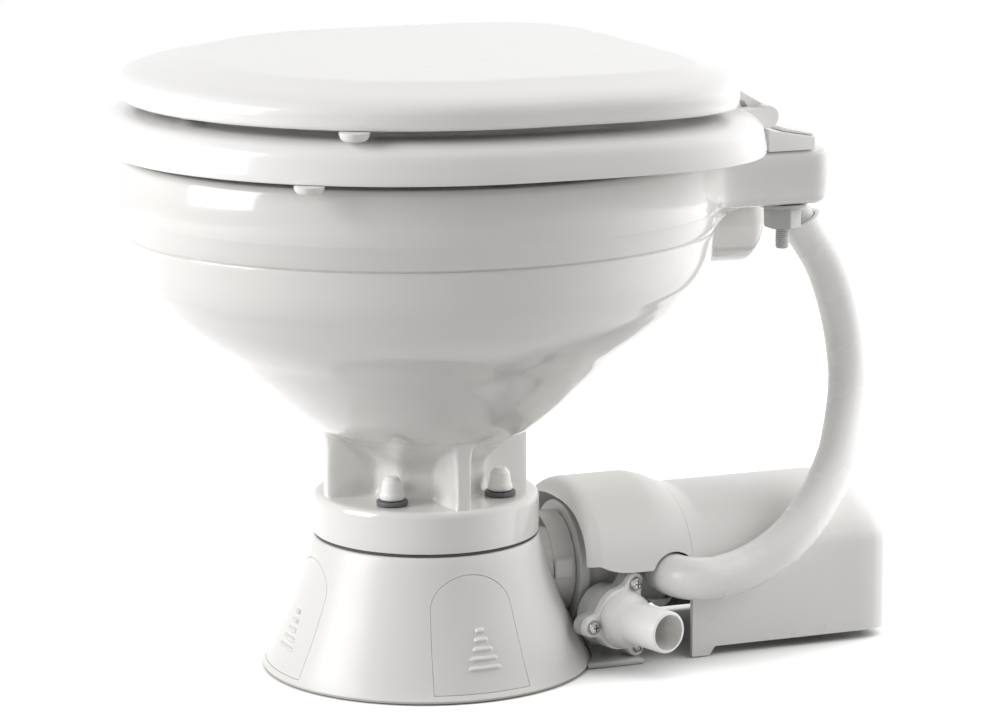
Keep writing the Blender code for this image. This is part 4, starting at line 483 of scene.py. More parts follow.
def rounded(profile: Profile, radius: float, steps: int = 5) -> list[tuple[float, float]]:
    """A profile with its corners rounded.

    Args:
        profile: The corners, from end to end.
        radius: Radius of each corner, less where a side is too short.
        steps: How many pieces each arc has.

    Returns:
        The rounded profile.
    """
    points = [Vector((a, b)) for a, b in profile]
    made = [tuple(points[0])]
    for before, corner, after in zip(points, points[1:], points[2:]):
        back, ahead = before - corner, after - corner
        if back.length < TINY or ahead.length < TINY:
            continue
        half = back.angle(ahead, math.pi) / 2
        reach = min(radius / max(math.tan(half), 0.05), back.length * 0.48, ahead.length * 0.48)
        start, end = corner + back.normalized() * reach, corner + ahead.normalized() * reach
        for step in range(steps + 1):
            t = step / steps
            made.append(tuple((1 - t) ** 2 * start + 2 * t * (1 - t) * corner + t * t * end))
    made.append(tuple(points[-1]))
    return made


def washer_profile(
    bore: float, radius: float, foot: float, top: float, edge: float, steps: int = 5,
) -> Profile:
    """The section of a flat ring with rounded edges, closed round its bore.

    Args:
        bore: Radius of the bore.
        radius: Outer radius.
        foot: Height of its lower face.
        top: Height of its upper face.
        edge: Radius of its edges.
        steps: How many pieces each edge has.

    Returns:
        The section's (radius, height) pairs.
    """
    corners = ((bore, foot), (radius, foot), (radius, top), (bore, top), (bore, foot + GAP))
    return rounded(corners, edge, steps)


def mesh_object(
    name: str, points: Sequence[Sequence[float]], faces: Sequence[Sequence[int]],
) -> bpy.types.Object:
    """A mesh object with its faces turned outwards.

    Args:
        name: The object's name.
        points: Its corners.
        faces: Its faces, as indices of corners.

    Returns:
        The object, linked to the scene.
    """
    mesh = bpy.data.meshes.new(name)
    mesh.from_pydata([tuple(point) for point in points], [], faces)
    shape = bmesh.new()
    shape.from_mesh(mesh)
    bmesh.ops.recalc_face_normals(shape, faces=shape.faces)
    shape.to_mesh(mesh)
    shape.free()
    made = bpy.data.objects.new(name, mesh)
    bpy.context.scene.collection.objects.link(made)
    return made


def loft(name: str, rings: Sequence[Sequence[Vector]], looped: bool = False) -> bpy.types.Object:
    """A closed surface through rings of points.

    Args:
        name: The object's name.
        rings: Rings of one length. A ring of one point is a pole.
        looped: Whether the last ring joins the first.

    Returns:
        The object.
    """
    points: list[Vector] = []
    starts: list[int] = []
    faces: list[tuple[int, ...]] = []
    for ring in rings:
        starts.append(len(points))
        points.extend(ring)
    pairs = list(zip(range(len(rings) - 1), range(1, len(rings))))
    if looped:
        pairs.append((len(rings) - 1, 0))
    for low, high in pairs:
        small, large = len(rings[low]), len(rings[high])
        for step in range(max(small, large)):
            after = (step + 1) % max(small, large)
            corners = (
                starts[low] + step % small, starts[low] + after % small,
                starts[high] + after % large, starts[high] + step % large,
            )
            faces.append(tuple(dict.fromkeys(corners)))
    if not looped:
        for end in (0, len(rings) - 1):
            if len(rings[end]) > 1:
                faces.append(tuple(range(starts[end], starts[end] + len(rings[end]))))
    return mesh_object(name, points, faces)


def turned(
    name: str, profile: Profile, axis: Axis = Axis.UP, place: Sequence[float] = (0, 0, 0), steps: int = 64,
    bored: bool = False,
) -> bpy.types.Object:
    """A turned shape.

    Args:
        name: The object's name.
        profile: Its (radius, height) pairs.
        axis: Which way it points.
        place: The middle of its foot.
        steps: How many sides it has.
        bored: Whether the profile closes on itself round a bore.

    Returns:
        The object.
    """
    move = Matrix.Translation(place) @ axis.matrix()
    rings = []
    for radius, height in profile:
        turns = full_turn(steps) if radius > TINY else [0.0]
        rings.append([move @ Vector((radius * math.cos(t), radius * math.sin(t), height)) for t in turns])
    return loft(name, rings, looped=bored)


def rod(
    name: str, radius: float, start: float, end: float, axis: Axis = Axis.UP,
    place: Sequence[float] = (0, 0, 0), steps: int = 64, edge: float = 0.0,
) -> bpy.types.Object:
    """A round bar with flat or rounded ends.

    Args:
        name: The object's name.
        radius: Its radius.
        start: Where it starts on its axis.
        end: Where it ends.
        axis: Which way it points.
        place: Where its axis passes.
        steps: How many sides it has.
        edge: Radius of its end corners.

    Returns:
        The object.
    """
    profile: Profile = ((0, start), (radius, start), (radius, end), (0, end))
    if edge:
        return turned(name, rounded(profile, edge), axis, place, steps)
    return turned(name, ((radius, start), (radius, end)), axis, place, steps)


def pump_rod(name: str, radius: float, start: float, end: float, steps: int = 64) -> bpy.types.Object:
    """A round bar along the pumps' axis."""
    return rod(name, radius, start, end, Axis.ALONG_Y, (0, 0, PUMP_AXIS_Z), steps)


def box(name: str, low: Sequence[float], high: Sequence[float]) -> bpy.types.Object:
    """A block between two corners, as the start of a shaped or rounded piece."""
    ring = ((low[0], low[1]), (high[0], low[1]), (high[0], high[1]), (low[0], high[1]))
    return loft(name, [[Vector((x, y, z)) for x, y in ring] for z in (low[2], high[2])])


def side_prism(name: str, outline: Profile, start: float, end: float) -> bpy.types.Object:
    """An outline of (y, z) pairs drawn along X from start to end."""
    return loft(name, [[Vector((x, y, z)) for y, z in outline] for x in (start, end)])


def settled(piece: bpy.types.Object) -> bpy.types.Object:
    """Applies a piece's modifiers to its mesh and cleans it.

    Args:
        piece: The piece.

    Returns:
        The same piece.
    """
    bpy.context.view_layer.update()
    evaluated = piece.evaluated_get(bpy.context.evaluated_depsgraph_get())
    mesh = bpy.data.meshes.new_from_object(evaluated)
    piece.modifiers.clear()
    piece.data = mesh
    return piece


def combine(piece: bpy.types.Object, others: Sequence[bpy.types.Object], operation: str) -> bpy.types.Object:
    """Joins, cuts or crosses a piece with others, which are used up.

    Args:
        piece: The piece that stays.
        others: The shapes it is worked with.
        operation: Blender's name for the operation.

    Returns:
        The worked piece.
    """
    for other in others:
        change = piece.modifiers.new(other.name, "BOOLEAN")
        change.operation = operation
        change.solver = "EXACT"
        change.object = other
    settled(piece)
    for other in others:
        bpy.data.objects.remove(other, do_unlink=True)
    return piece


def fused(piece: bpy.types.Object, *others: bpy.types.Object) -> bpy.types.Object:
    """Joins shapes into one closed piece."""
    return combine(piece, others, "UNION")


def cut(piece: bpy.types.Object, *others: bpy.types.Object) -> bpy.types.Object:
    """Cuts shapes out of a piece."""
    return combine(piece, others, "DIFFERENCE")


def softened(piece: bpy.types.Object, radius: float, steps: int = 3, angle: float = 30.0) -> bpy.types.Object:
    """Rounds a piece's edges.

    Args:
        piece: The piece.
        radius: The edges' radius.
        steps: How many faces each rounding has.
        angle: The least turn in degrees that counts as an edge.

    Returns:
        The same piece.
    """
    change = piece.modifiers.new("soft_edges", "BEVEL")
    change.width = radius
    change.segments = steps
    change.limit_method = "ANGLE"
    change.angle_limit = math.radians(angle)
    return settled(piece)


def gathered(name: str, pieces: Sequence[bpy.types.Object]) -> bpy.types.Object:
    """One object from several meshes that lie in or against each other.

    Args:
        name: The new object's name.
        pieces: The meshes, which are used up.

    Returns:
        The object.
    """
    points: list[Vector] = []
    faces: list[tuple[int, ...]] = []
    for piece in pieces:
        start = len(points)
        points.extend(vertex.co.copy() for vertex in piece.data.vertices)
        faces.extend(tuple(start + index for index in polygon.vertices) for polygon in piece.data.polygons)
        bpy.data.objects.remove(piece, do_unlink=True)
    return mesh_object(name, points, faces)


def moved(piece: bpy.types.Object, matrix: Matrix) -> bpy.types.Object:
    """Moves a mesh by a matrix and keeps its object at the origin."""
    piece.data.transform(matrix)
    return piece


def smooth_route(route: Sequence[Sequence[float]], steps: int) -> Ring:
    """Points on a smooth curve through a route.

    Args:
        route: The points to pass through.
        steps: How many points stand for each given one.

    Returns:
        The points of the curve.
    """
    points = [Vector(point) for point in route]
    made: Ring = []
    for index in range(len(points) - 1):
        before, start = points[max(index - 1, 0)], points[index]
        end, after = points[index + 1], points[min(index + 2, len(points) - 1)]
        for step in range(steps):
            t = step / steps
            made.append(
                0.5 * (2 * start + (end - before) * t + (2 * before - 5 * start + 4 * end - after) * t**2)
                + 0.5 * (3 * start - before - 3 * end + after) * t**3
            )
    made.append(points[-1])
    return made


def swept(
    name: str, route: Sequence[Vector], section: Callable[[float], tuple[float, float]], steps: int,
) -> bpy.types.Object:
    """A tube along a route, carried along it without twist.

    Args:
        name: The object's name.
        route: The points of its middle line.
        section: Gives the outer radius and the bore at a share of the route.
        steps: How many sides it has.

    Returns:
        The object.
    """
    side = Vector((1, 0, 0))
    outer, inner = [], []
    turns = full_turn(steps)
    for index, point in enumerate(route):
        ahead = (route[min(index + 1, len(route) - 1)] - route[max(index - 1, 0)]).normalized()
        side = (side - ahead * side.dot(ahead)).normalized()
        other = ahead.cross(side)
        radius, bore = section(index / (len(route) - 1))
        outer.append([point + radius * (math.cos(t) * side + math.sin(t) * other) for t in turns])
        inner.append([point + bore * (math.cos(t) * side + math.sin(t) * other) for t in turns])
    return loft(name, outer + inner[::-1], looped=True)


def hand_over(piece: bpy.types.Object, finish: Finish, body: Body, *nodes: str) -> bpy.types.Object:
    """Dresses a finished mesh and gives it to the frame.

    Args:
        piece: The mesh, in its place.
        finish: What it is made of.
        body: The body that it rides on.
        *nodes: The CAD nodes that it stands for.

    Returns:
        The same piece.
    """
    piece.data.materials.clear()
    piece.data.materials.append(finish.material())
    piece.data.shade_smooth()
    piece.data.set_sharp_from_angle(angle=SHARP_ANGLE)
    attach(piece, body.value)
    if nodes:
        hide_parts(*nodes)
    log.info("%s: %d faces in %s", piece.name, len(piece.data.polygons), finish.name)
    return piece


# Bowl


@dataclass
class Bowl:
    """The china bowl: foot ring, ribbed neck, cup, deck and inlet horn."""

    foot_z: float = 0.0856
    rim_z: float = 0.3255
    half_length: float = 0.1888
    half_width: float = 0.1730
    foot_r: float = 0.0708
    pocket_depth: float = 0.0305
    neck_bore: float = 0.023
    deck_half_width: float = 0.095
    deck_rear_y: float = 0.234
    deck_corner: float = 0.013
    deck_under_share: float = 0.8588
    deck_edge: float = 0.0065
    horn_r: float = 0.027
    horn_z: float = 0.269
    horn_end_y: float = 0.222
    horn_flare: float = 0.009
    horn_round: float = 0.011
    horn_narrowing: float = 0.0085
    horn_lift: float = 0.005
    inlet_z: float = 0.276
    inlet_depth: float = 0.05
    rim_edge: float = 0.005
    ring_steps: int = 6
    edge_steps: int = 6

    # Neck, in degrees: half the rib's angle, the fade from rib to pocket and the width of a cap's swelling;
    # then the swelling's share low down, what it gains higher up, and where it starts and how fast it gains.
    rib_angle: float = 3.0
    rib_fade: float = 5.4
    swell_angle: float = 12.0
    swell_share: float = 0.065
    swell_gain: float = 0.055
    swell_start: float = 0.030
    swell_height: float = 0.009

    # How tightly the deck's outline turns into the cup's, and how tightly its reach is held.
    JOIN_POWER = 40
    REACH_POWER = 5
    # Shares of the height between which the bowl's points leave the ribs for the deck's corners.
    TURN_SHARES = (0.28, 0.70)
    # Foot and neck from the bottom up: height over the foot, radius and share of the pockets' depth.
    NECK = (
        (0.0, 0.0699, 0), (0.0003, 0.0705, 0), (0.0009, 0.0708, 0), (0.0208, 0.0708, 0), (0.0230, 0.0704, 0),
        (0.0246, 0.0694, 0), (0.0254, 0.0680, 0), (0.0257, 0.0668, 0.02), (0.0258, 0.0665, 0.12),
        (0.0258, 0.0665, 0.32), (0.0258, 0.0665, 0.56), (0.0258, 0.0665, 0.75), (0.0259, 0.0665, 0.85),
        (0.0264, 0.0665, 0.91), (0.0275, 0.0665, 0.955), (0.0295, 0.0665, 0.985), (0.033, 0.0665, 1.0),
        (0.040, 0.0665, 1.0), (0.0455, 0.0665, 0.97), (0.0502, 0.0665, 0.88), (0.0545, 0.0665, 0.74),
        (0.0582, 0.0666, 0.57), (0.0614, 0.0669, 0.39), (0.0643, 0.0675, 0.22), (0.0672, 0.0686, 0.09),
    )
    # Cup from the neck up: shares of the whole height, half length and half width.
    CUP = (
        (0.291, 0.378, 0.411), (0.311, 0.411, 0.446), (0.353, 0.478, 0.513), (0.399, 0.545, 0.576),
        (0.442, 0.607, 0.632), (0.488, 0.673, 0.692), (0.526, 0.742, 0.752), (0.564, 0.806, 0.807),
        (0.611, 0.870, 0.862), (0.647, 0.904, 0.891), (0.680, 0.936, 0.915), (0.720, 0.955, 0.931),
        (0.760, 0.966, 0.9385), (0.7925, 0.9730, 0.9440), (0.7962, 0.9724, 0.9434), (0.7982, 0.9690, 0.9402),
        (0.8002, 0.9690, 0.9402), (0.8024, 0.9778, 0.9482), (0.8055, 0.9806, 0.9510),
    )
    # Cup from the groove to the rim's edge: the same shares, then the deck's reach and its inset in metres.
    UPPER = (
        (0.820, 0.9855, 0.9600, 0.0006, 0), (0.833, 0.9900, 0.9675, 0.0017, 0),
        (0.8455, 0.9930, 0.9760, 0.0042, 0), (0.8520, 0.9945, 0.9810, 0.0068, 0.006),
        (0.8558, 0.9955, 0.9835, 0.0095, 0.006), (0.8576, 0.9960, 0.9850, 0.0125, 0.006),
        (0.8582, 0.9960, 0.9852, 0.017, 0.006), (0.8584, 0.9961, 0.9853, 0.024, 0.006),
        (0.8586, 0.9962, 0.9854, 0.034, 0.006), (0.8588, 0.9963, 0.9855, 0.044, 0.006),
    )
    # The cup's length and width shares at both ends of the deck's lower edge, and under the rim's edge.
    UNDER_EDGE = (0.9963, 0.9855)
    UPPER_EDGE = (1.0, 0.996)
    RIM_EDGE = (0.991, 0.997)
    # The flat rim's outer and inner edges, and where its rings lie between them.
    RIM_OUTER = (0.9645, 0.9681)
    RIM_INNER = (0.884, 0.868)
    RIM_SHARES = (0.25, 0.5, 0.75, 1.0)
    # The deck's side above its lower edge, and the bowl's inside from the rim down, as shares like the cup's.
    DECK_SIDE = ((0.915, 1.0, 0.998), (0.945, 0.997, 1.0), (0.968, 0.992, 0.998))
    INSIDE = (
        (0.9985, 0.874, 0.858), (0.994, 0.862, 0.846), (0.980, 0.856, 0.841), (0.900, 0.852, 0.837),
        (0.886, 0.868, 0.853), (0.872, 0.886, 0.872), (0.795, 0.872, 0.856), (0.710, 0.850, 0.826),
        (0.647, 0.806, 0.789), (0.564, 0.705, 0.705), (0.488, 0.575, 0.590), (0.399, 0.445, 0.471),
        (0.353, 0.366, 0.396), (0.318, 0.270, 0.295), (0.285, 0.186, 0.203), (0.262, 0.140, 0.153),
    )
    # The inlet's bore from its mouth inwards: radius and depth.
    INLET = ((0.0152, 0), (0.014, 0.0012), (0.014, 0.009), (0.0075, 0.009), (0.0070, 0.05))
    THROAT_HEIGHTS = (0.056, 0.03, 0.0)
    RIB_ANGLES = (0, 3.8, 6.5, 12, 20, 31, 45)
    DECK_ANGLES = (
        0, 12, 19, 21.5, 24, 28, 33, 40, 48, 56, 65, 74, 83, 92, 101, 110, 119, 128, 136, 144, 151.5, 158.5,
        165.5, 173, 180,
    )

    @property
    def height(self) -> float:
        """Height of the china."""
        return self.rim_z - self.foot_z

    def oval(self, turn: float, length: float, width: float) -> float:
        """Radius of an ellipse at an angle from the rear."""
        return 1 / math.hypot(math.cos(turn) / length, math.sin(turn) / width)

    def deck_radius(self, turn: float, inset: float) -> float:
        """Radius of the deck's rounded outline.

        Args:
            turn: Angle from the rear.
            inset: How far the outline is drawn in.

        Returns:
            The radius, or 0 where the outline lies the other way.
        """
        sine, cosine = abs(math.sin(turn)), math.cos(turn)
        width, rear, corner = self.deck_half_width - inset, self.deck_rear_y - inset, self.deck_corner - inset
        if cosine <= 0:
            return 0.0
        if sine / cosine * rear <= width - corner:
            return rear / cosine
        if cosine / sine * width <= rear - corner:
            return width / sine
        along = (width - corner) * sine + (rear - corner) * cosine
        return along + math.sqrt(along * along - (width - corner) ** 2 - (rear - corner) ** 2 + corner**2)

    def turns(self, share: float) -> list[float]:
        """Angles round the bowl: set by the ribs low down and by the deck's corners high up.

        Args:
            share: Height as a share of the whole.

        Returns:
            The angles from the rear, in radians.
        """
        start, end = self.TURN_SHARES
        blend = eased((share - start) / (end - start))
        ribs: list[float] = []
        for quarter in range(2):
            ribs.extend(90 * quarter + angle for angle in self.RIB_ANGLES[:-1])
            ribs.extend(90 * (quarter + 1) - angle for angle in reversed(self.RIB_ANGLES[1:]))
        ribs.append(180)
        marks = [low + blend * (high - low) for low, high in zip(ribs, self.DECK_ANGLES)]
        half: list[float] = []
        for low, high in zip(marks, marks[1:]):
            half += [low + (high - low) * step / self.ring_steps for step in range(self.ring_steps)]
        half.append(180.0)
        return [math.radians(angle) for angle in half + [360 - angle for angle in reversed(half[1:-1])]]

    def ring(self, share: float, radius_at: Callable[[float], float]) -> Ring:
        """A ring of the bowl.

        Args:
            share: Height as a share of the whole.
            radius_at: Gives the radius at an angle from the rear.

        Returns:
            The ring.
        """
        height = self.foot_z + share * self.height
        rows = [(turn, radius_at(turn)) for turn in self.turns(share)]
        return [Vector((radius * math.sin(turn), radius * math.cos(turn), height)) for turn, radius in rows]

    def neck_ring(self, height: float, radius: float, pocket: float) -> Ring:
        """A ring of the foot or the neck with its four pockets, each swelling out behind its bolt's cap.

        Args:
            height: Height over the foot.
            radius: Radius outside the pockets.
            pocket: Share of the pockets' depth.

        Returns:
            The ring.
        """
        swell = self.swell_share + self.swell_gain * eased((height - self.swell_start) / self.swell_height)

        def radius_at(turn: float) -> float:
            angle = math.degrees(turn) % 90
            angle = min(angle, 90 - angle)
            side = 1 - math.exp(-((max(angle - self.rib_angle, 0.0) / self.rib_fade) ** 2))
            middle = math.exp(-(((45 - angle) / self.swell_angle) ** 2))
            return radius - pocket * self.pocket_depth * side * (1 - swell * middle)

        return self.ring(height / self.height, radius_at)

    def cup_ring(
        self, share: float, length: float, width: float, reach: float = 0.0, inset: float = 0.0,
    ) -> Ring:
        """A ring of the cup, out of which the deck grows.

        Args:
            share: Height as a share of the whole.
            length: Half length as a share.
            width: Half width as a share.
            reach: How far the deck may stand out of the cup, in metres.
            inset: How far the deck's outline is drawn in.

        Returns:
            The ring.
        """

        def radius_at(turn: float) -> float:
            plain = self.oval(turn, length * self.half_length, width * self.half_width)
            deck = self.deck_radius(turn, inset) if reach > 0 else 0.0
            if deck <= 0:
                return plain
            joined = max(plain, deck)
            power = self.JOIN_POWER
            joined *= ((plain / joined) ** power + (deck / joined) ** power) ** (1 / power)
            room = joined - plain
            if room <= TINY:
                return plain
            power = self.REACH_POWER
            return plain + room * reach / (room**power + reach**power) ** (1 / power)

        return self.ring(share, radius_at)

    def outside(self) -> list[Ring]:
        """The outer rings.

        Returns:
            All rings from the foot to the rim's top edge.
        """
        rings = [self.neck_ring(*row) for row in flowing(self.NECK, 3)]
        rings += [self.cup_ring(*row) for row in flowing(self.CUP, 5)]
        rings += [self.cup_ring(*row) for row in flowing(self.UPPER, 2)]
        start, end = self.UNDER_EDGE, self.UPPER_EDGE
        for index, (across, below) in enumerate(quarter_round(self.edge_steps)):
            side = index / self.edge_steps
            length, width = (low + (high - low) * side for low, high in zip(start, end))
            share = self.deck_under_share + self.deck_edge * across / self.height
            rings.append(self.cup_ring(share, length, width, 1.0, self.deck_edge * below))
        rings += [self.cup_ring(*row, 1.0) for row in self.DECK_SIDE]
        for across, below in quarter_round(self.edge_steps, 1):
            inset = self.rim_edge * across
            length = self.RIM_EDGE[0] - inset / self.half_length
            width = self.RIM_EDGE[1] - inset / self.half_width
            rings.append(self.cup_ring(1 - self.rim_edge * below / self.height, length, width, 1.0, inset))
        return rings

    def top(self) -> list[Ring]:
        """Rings across the rim's flat top.

        Returns:
            The rings from its outer edge to its inner one.
        """
        edge = self.cup_ring(1.0, *self.RIM_OUTER, 1.0, self.rim_edge)
        inner = self.cup_ring(1.0, *self.RIM_INNER)
        return [[a.lerp(b, share) for a, b in zip(edge, inner)] for share in self.RIM_SHARES]

    def shell(self) -> bpy.types.Object:
        """The whole body as one closed skin.

        Returns:
            The body.
        """
        rings = self.outside() + self.top()
        rings += [self.cup_ring(*row) for row in flowing(self.INSIDE, 3)]
        rings += [self.neck_ring(height, self.neck_bore, 0) for height in self.THROAT_HEIGHTS]
        return loft("china_bowl", rings, looped=True)

    def wall_y(self, x: float, z: float) -> float:
        """Where the cup's outside is, behind a point of the horn.

        Args:
            x: The point's place across.
            z: Its height.

        Returns:
            The place along Y.
        """
        share = (z - self.foot_z) / self.height
        shares, lengths, widths = zip(*(row[:3] for row in self.CUP + self.UPPER))
        length = np.interp(share, shares, lengths) * self.half_length
        width = np.interp(share, shares, widths) * self.half_width
        return float(length * math.sqrt(max(1 - (x / width) ** 2, 0.0)))

    def horn(self) -> bpy.types.Object:
        """The inlet horn, flared where it grows out of the cup and bored for the elbow.

        Returns:
            The horn.
        """

        def circle(radius: float, z: float, y: float | None, lift: float = 0.0) -> Ring:
            made = []
            for turn in full_turn(96):
                x, height = radius * math.cos(turn), z + radius * math.sin(turn)
                made.append(Vector((x, self.wall_y(x, height) + lift if y is None else y, height)))
            return made

        flare, sunk = self.horn_flare, GAP * 2
        rings = [circle(self.horn_r + flare, self.horn_z, None, -OVERRUN)]
        for across, below in quarter_round(6):
            rings.append(circle(self.horn_r + flare * below, self.horn_z, None, flare * across - sunk))
        straight_end = self.horn_end_y - self.horn_round
        rings.append(circle(self.horn_r, self.horn_z, straight_end))
        for across, below in quarter_round(7, 1):
            radius, height = self.horn_r - self.horn_narrowing * across, self.horn_z + self.horn_lift * across
            rings.append(circle(radius, height, self.horn_end_y - self.horn_round * below))
        for radius, depth in self.INLET:
            rings.append(circle(radius, self.inlet_z, self.horn_end_y - depth))
        rings.append([Vector((0, self.horn_end_y - self.inlet_depth, self.inlet_z))])
        return loft("bowl_horn", rings)

    def build(self) -> None:
        """Builds and dresses the bowl."""
        hand_over(self.shell(), CHINA, Body.TOILET, "bowl")
        hand_over(self.horn(), CHINA, Body.TOILET)


# Base


@dataclass
class Base:
    """The moulded cone, its ducts, its stub for the pump and its three arched access panels."""

    foot_r: float = 0.1035
    top_r: float = 0.0708
    height: float = 0.0836
    bow: float = 0.0022
    wall: float = 0.004
    plate: float = 0.007
    panel_half_width: float = 0.032
    panel_narrowing: float = 0.24
    panel_height: float = 0.073
    panel_rise_share: float = 0.62
    panel_foot_z: float = 0.005
    flange_room_r: float = 0.0405
    flange_room_y: float = 0.0875
    duct_r: float = 0.027
    duct_foot_z: float = 0.024
    duct_bore: float = 0.023
    sump_r: float = 0.020
    sump_z: float = 0.028
    passage_r: float = 0.026
    passage_bore: float = 0.0222
    passage_end_y: float = 0.0845
    stub_end_y: float = 0.0885
    root_r: float = 0.0327
    ridge_proud: float = 0.0020
    ridge_thick: float = 0.0024
    ridge_sunk: float = 0.0012
    ridge_length: float = 0.026
    ridge_top_z: float = 0.0395
    ridge_pitch: float = 0.0053
    ridge_turn: float = 1.6
    steps: int = 160

    PANEL_TURNS = (0, 90, 270)
    # The ridges' lengths from the top down, as shares of the longest.
    RIDGES = (0.24, 0.37, 0.52, 0.74, 0.86)
    # A ridge's section between its sunk ends, as shares of how far it stands out and of its thickness.
    RIDGE_SECTION = ((0.45, 0.0), (0.85, 0.22), (1.0, 0.5), (0.8, 0.8), (0.3, 1.0))
    # The stub's edge: radius and place along Y.
    STUB = (
        (0, 0.0735), (0.0335, 0.0735), (0.0335, 0.0835), (0.0333, 0.0871), (0.0328, 0.0881), (0.0319, 0.0885),
    )
    # Where the stub runs into the cone, and where the cone thickens behind the flange, along Y.
    ROOT = (0.056, 0.0750)
    BACKING = (0.074, 0.0872)
    PAD = ((0.024, 0.0735, 0.053), (0.0352, 0.0862, 0.0665))

    def radius(self, z: float) -> float:
        """Outside of the cone at a height."""
        share = z / self.height
        return self.foot_r + (self.top_r - self.foot_r) * share - self.bow * math.sin(math.pi * share)

    def cone(self, offset: float, start: float, end: float, steps: int = 12) -> list[tuple[float, float]]:
        """A (radius, height) profile of the cone, moved out by an offset."""
        heights = [start + (end - start) * step / steps for step in range(steps + 1)]
        return [(self.radius(z) + offset, z) for z in heights]

    def arch(self, name: str, inset: float, turn: float) -> bpy.types.Object:
        """An arched block through the wall, for a panel or its window.

        Args:
            name: The object's name.
            inset: How far the outline is drawn in.
            turn: Where it stands round the base, in degrees from the front.

        Returns:
            The block.
        """
        half, foot, top = self.panel_half_width - inset, self.panel_foot_z + inset, self.panel_height - inset
        rise = half * self.panel_rise_share
        side = [foot + (top - rise - foot) * step / 6 for step in range(7)]
        turns = full_turn(48)[1:24]
        outline = [(half, z) for z in side]
        outline += [(half * math.cos(angle), top - rise + rise * math.sin(angle)) for angle in turns]
        outline += [(-half, z) for z in reversed(side)]
        narrowed = [(x * (1 - self.panel_narrowing * z / self.panel_height), z) for x, z in outline]
        reaches = (self.top_r * 0.55, self.foot_r + OVERRUN)
        block = loft(name, [[Vector((x, -reach, z)) for x, z in narrowed] for reach in reaches])
        return moved(block, Matrix.Rotation(math.radians(turn), 4, "Z"))

    def body(self) -> bpy.types.Object:
        """The cone with its floor lip, ducts, stub and windows.

        Returns:
            The cone.
        """
        foot = self.radius(0)
        outer = [(0, 0), (foot - 0.0035, 0), (foot - 0.0012, 0.0005), (foot, 0.0022)]
        outer += self.cone(0, 0.006, self.height - 0.0010)
        top = self.height
        outer += [(self.top_r - 0.0002, top - 0.0003), (self.top_r - 0.0009, top), (0, top)]
        base = turned("moulded_base", outer, steps=self.steps)
        plate_z = self.height - self.plate
        hollow = [(0, -OVERRUN), (foot - self.wall, -OVERRUN)]
        hollow += self.cone(-self.wall, 0, plate_z, 6) + [(0, plate_z)]
        room = pump_rod("flange_room", self.flange_room_r, self.flange_room_y, self.foot_r + OVERRUN)
        cut(base, turned("hollow", hollow, steps=self.steps), room)
        duct = rod("duct", self.duct_r, self.duct_foot_z, self.height - self.plate / 2, steps=48)
        sump = rod("sump", self.sump_r, 0, self.sump_z, steps=48)
        passage = pump_rod("passage", self.passage_r, 0, self.passage_end_y, 48)
        stub = turned("stub", (*self.STUB, (0, self.stub_end_y)), Axis.ALONG_Y, (0, 0, PUMP_AXIS_Z), 96)
        root = pump_rod("stub_root", self.root_r, *self.ROOT, steps=96)
        below_top = box("below_top", (-0.04, 0.05, 0), (0.04, 0.08, self.height - 0.0004))
        combine(root, (below_top,), "INTERSECT")
        backing = pump_rod("backing", self.flange_room_r, *self.BACKING, steps=96)
        combine(backing, (turned("cone", outer, steps=self.steps),), "INTERSECT")
        fused(base, duct, sump, passage, stub, root, backing)
        duct_bore = rod("duct_bore", self.duct_bore, self.sump_z, self.height + OVERRUN, steps=48)
        passage_bore = pump_rod("passage_bore", self.passage_bore, 0, self.stub_end_y + OVERRUN, 48)
        windows = [self.arch("window", 0, turn) for turn in self.PANEL_TURNS]
        return cut(base, duct_bore, passage_bore, *windows)

    def ridge(self, z: float, length: float) -> bpy.types.Object:
        """One rounded grip ridge on the front of the cone.

        Args:
            z: Height of its lower edge.
            length: Its length.

        Returns:
            The ridge.
        """
        section = [(0.0, -self.ridge_sunk)]
        section += [(out * self.ridge_proud, up * self.ridge_thick) for out, up in self.RIDGE_SECTION]
        section.append((-self.ridge_sunk, self.ridge_thick))
        rings = []
        steps = 14
        for step in range(steps + 1):
            across = (step / steps - 0.5) * length
            end = min(step, steps - step) / 2
            swell = math.sin(math.pi / 2 * min(end, 1.0)) if end else 0.12
            ring = []
            for out, up in section:
                reach = self.radius(z + up) + out * swell - 0.0001
                turn = across / reach
                height = z + up * (0.4 + 0.6 * swell)
                ring.append(Vector((reach * math.sin(turn), -reach * math.cos(turn), height)))
            rings.append(ring)
        return loft("ridge", rings)

    def panel(self, index: int, turn: float) -> None:
        """Builds one arched panel with its grip ridges.

        Args:
            index: The panel's number.
            turn: Its place round the base, in degrees from the front.
        """
        panel = self.arch("panel_%d" % index, GAP, turn)
        sheet = self.cone(0, 0, self.height) + self.cone(-self.wall, 0, self.height)[::-1]
        combine(panel, (turned("sheet", sheet, steps=self.steps, bored=True),), "INTERSECT")
        place = Matrix.Rotation(math.radians(turn + self.ridge_turn), 4, "Z")
        ridges = []
        for step, share in enumerate(self.RIDGES):
            ridge = self.ridge(self.ridge_top_z - self.ridge_pitch * step, share * self.ridge_length)
            ridges.append(moved(ridge, place))
        panel = gathered("grip_panel_%d" % index, [panel, *ridges])
        hand_over(panel, BASE_GREY, Body.TOILET, "access_panel_%d" % index)

    def rear_pad(self) -> bpy.types.Object:
        """The small raised pad on the side of the stub."""
        return softened(box("stub_pad", *self.PAD), 0.0016)

    def build(self) -> None:
        """Builds and dresses the base."""
        hand_over(self.body(), BASE_GREY, Body.TOILET, "base")
        hand_over(self.rear_pad(), BASE_GREY, Body.TOILET)
        for index, turn in enumerate(self.PANEL_TURNS, 1):
            self.panel(index, turn)


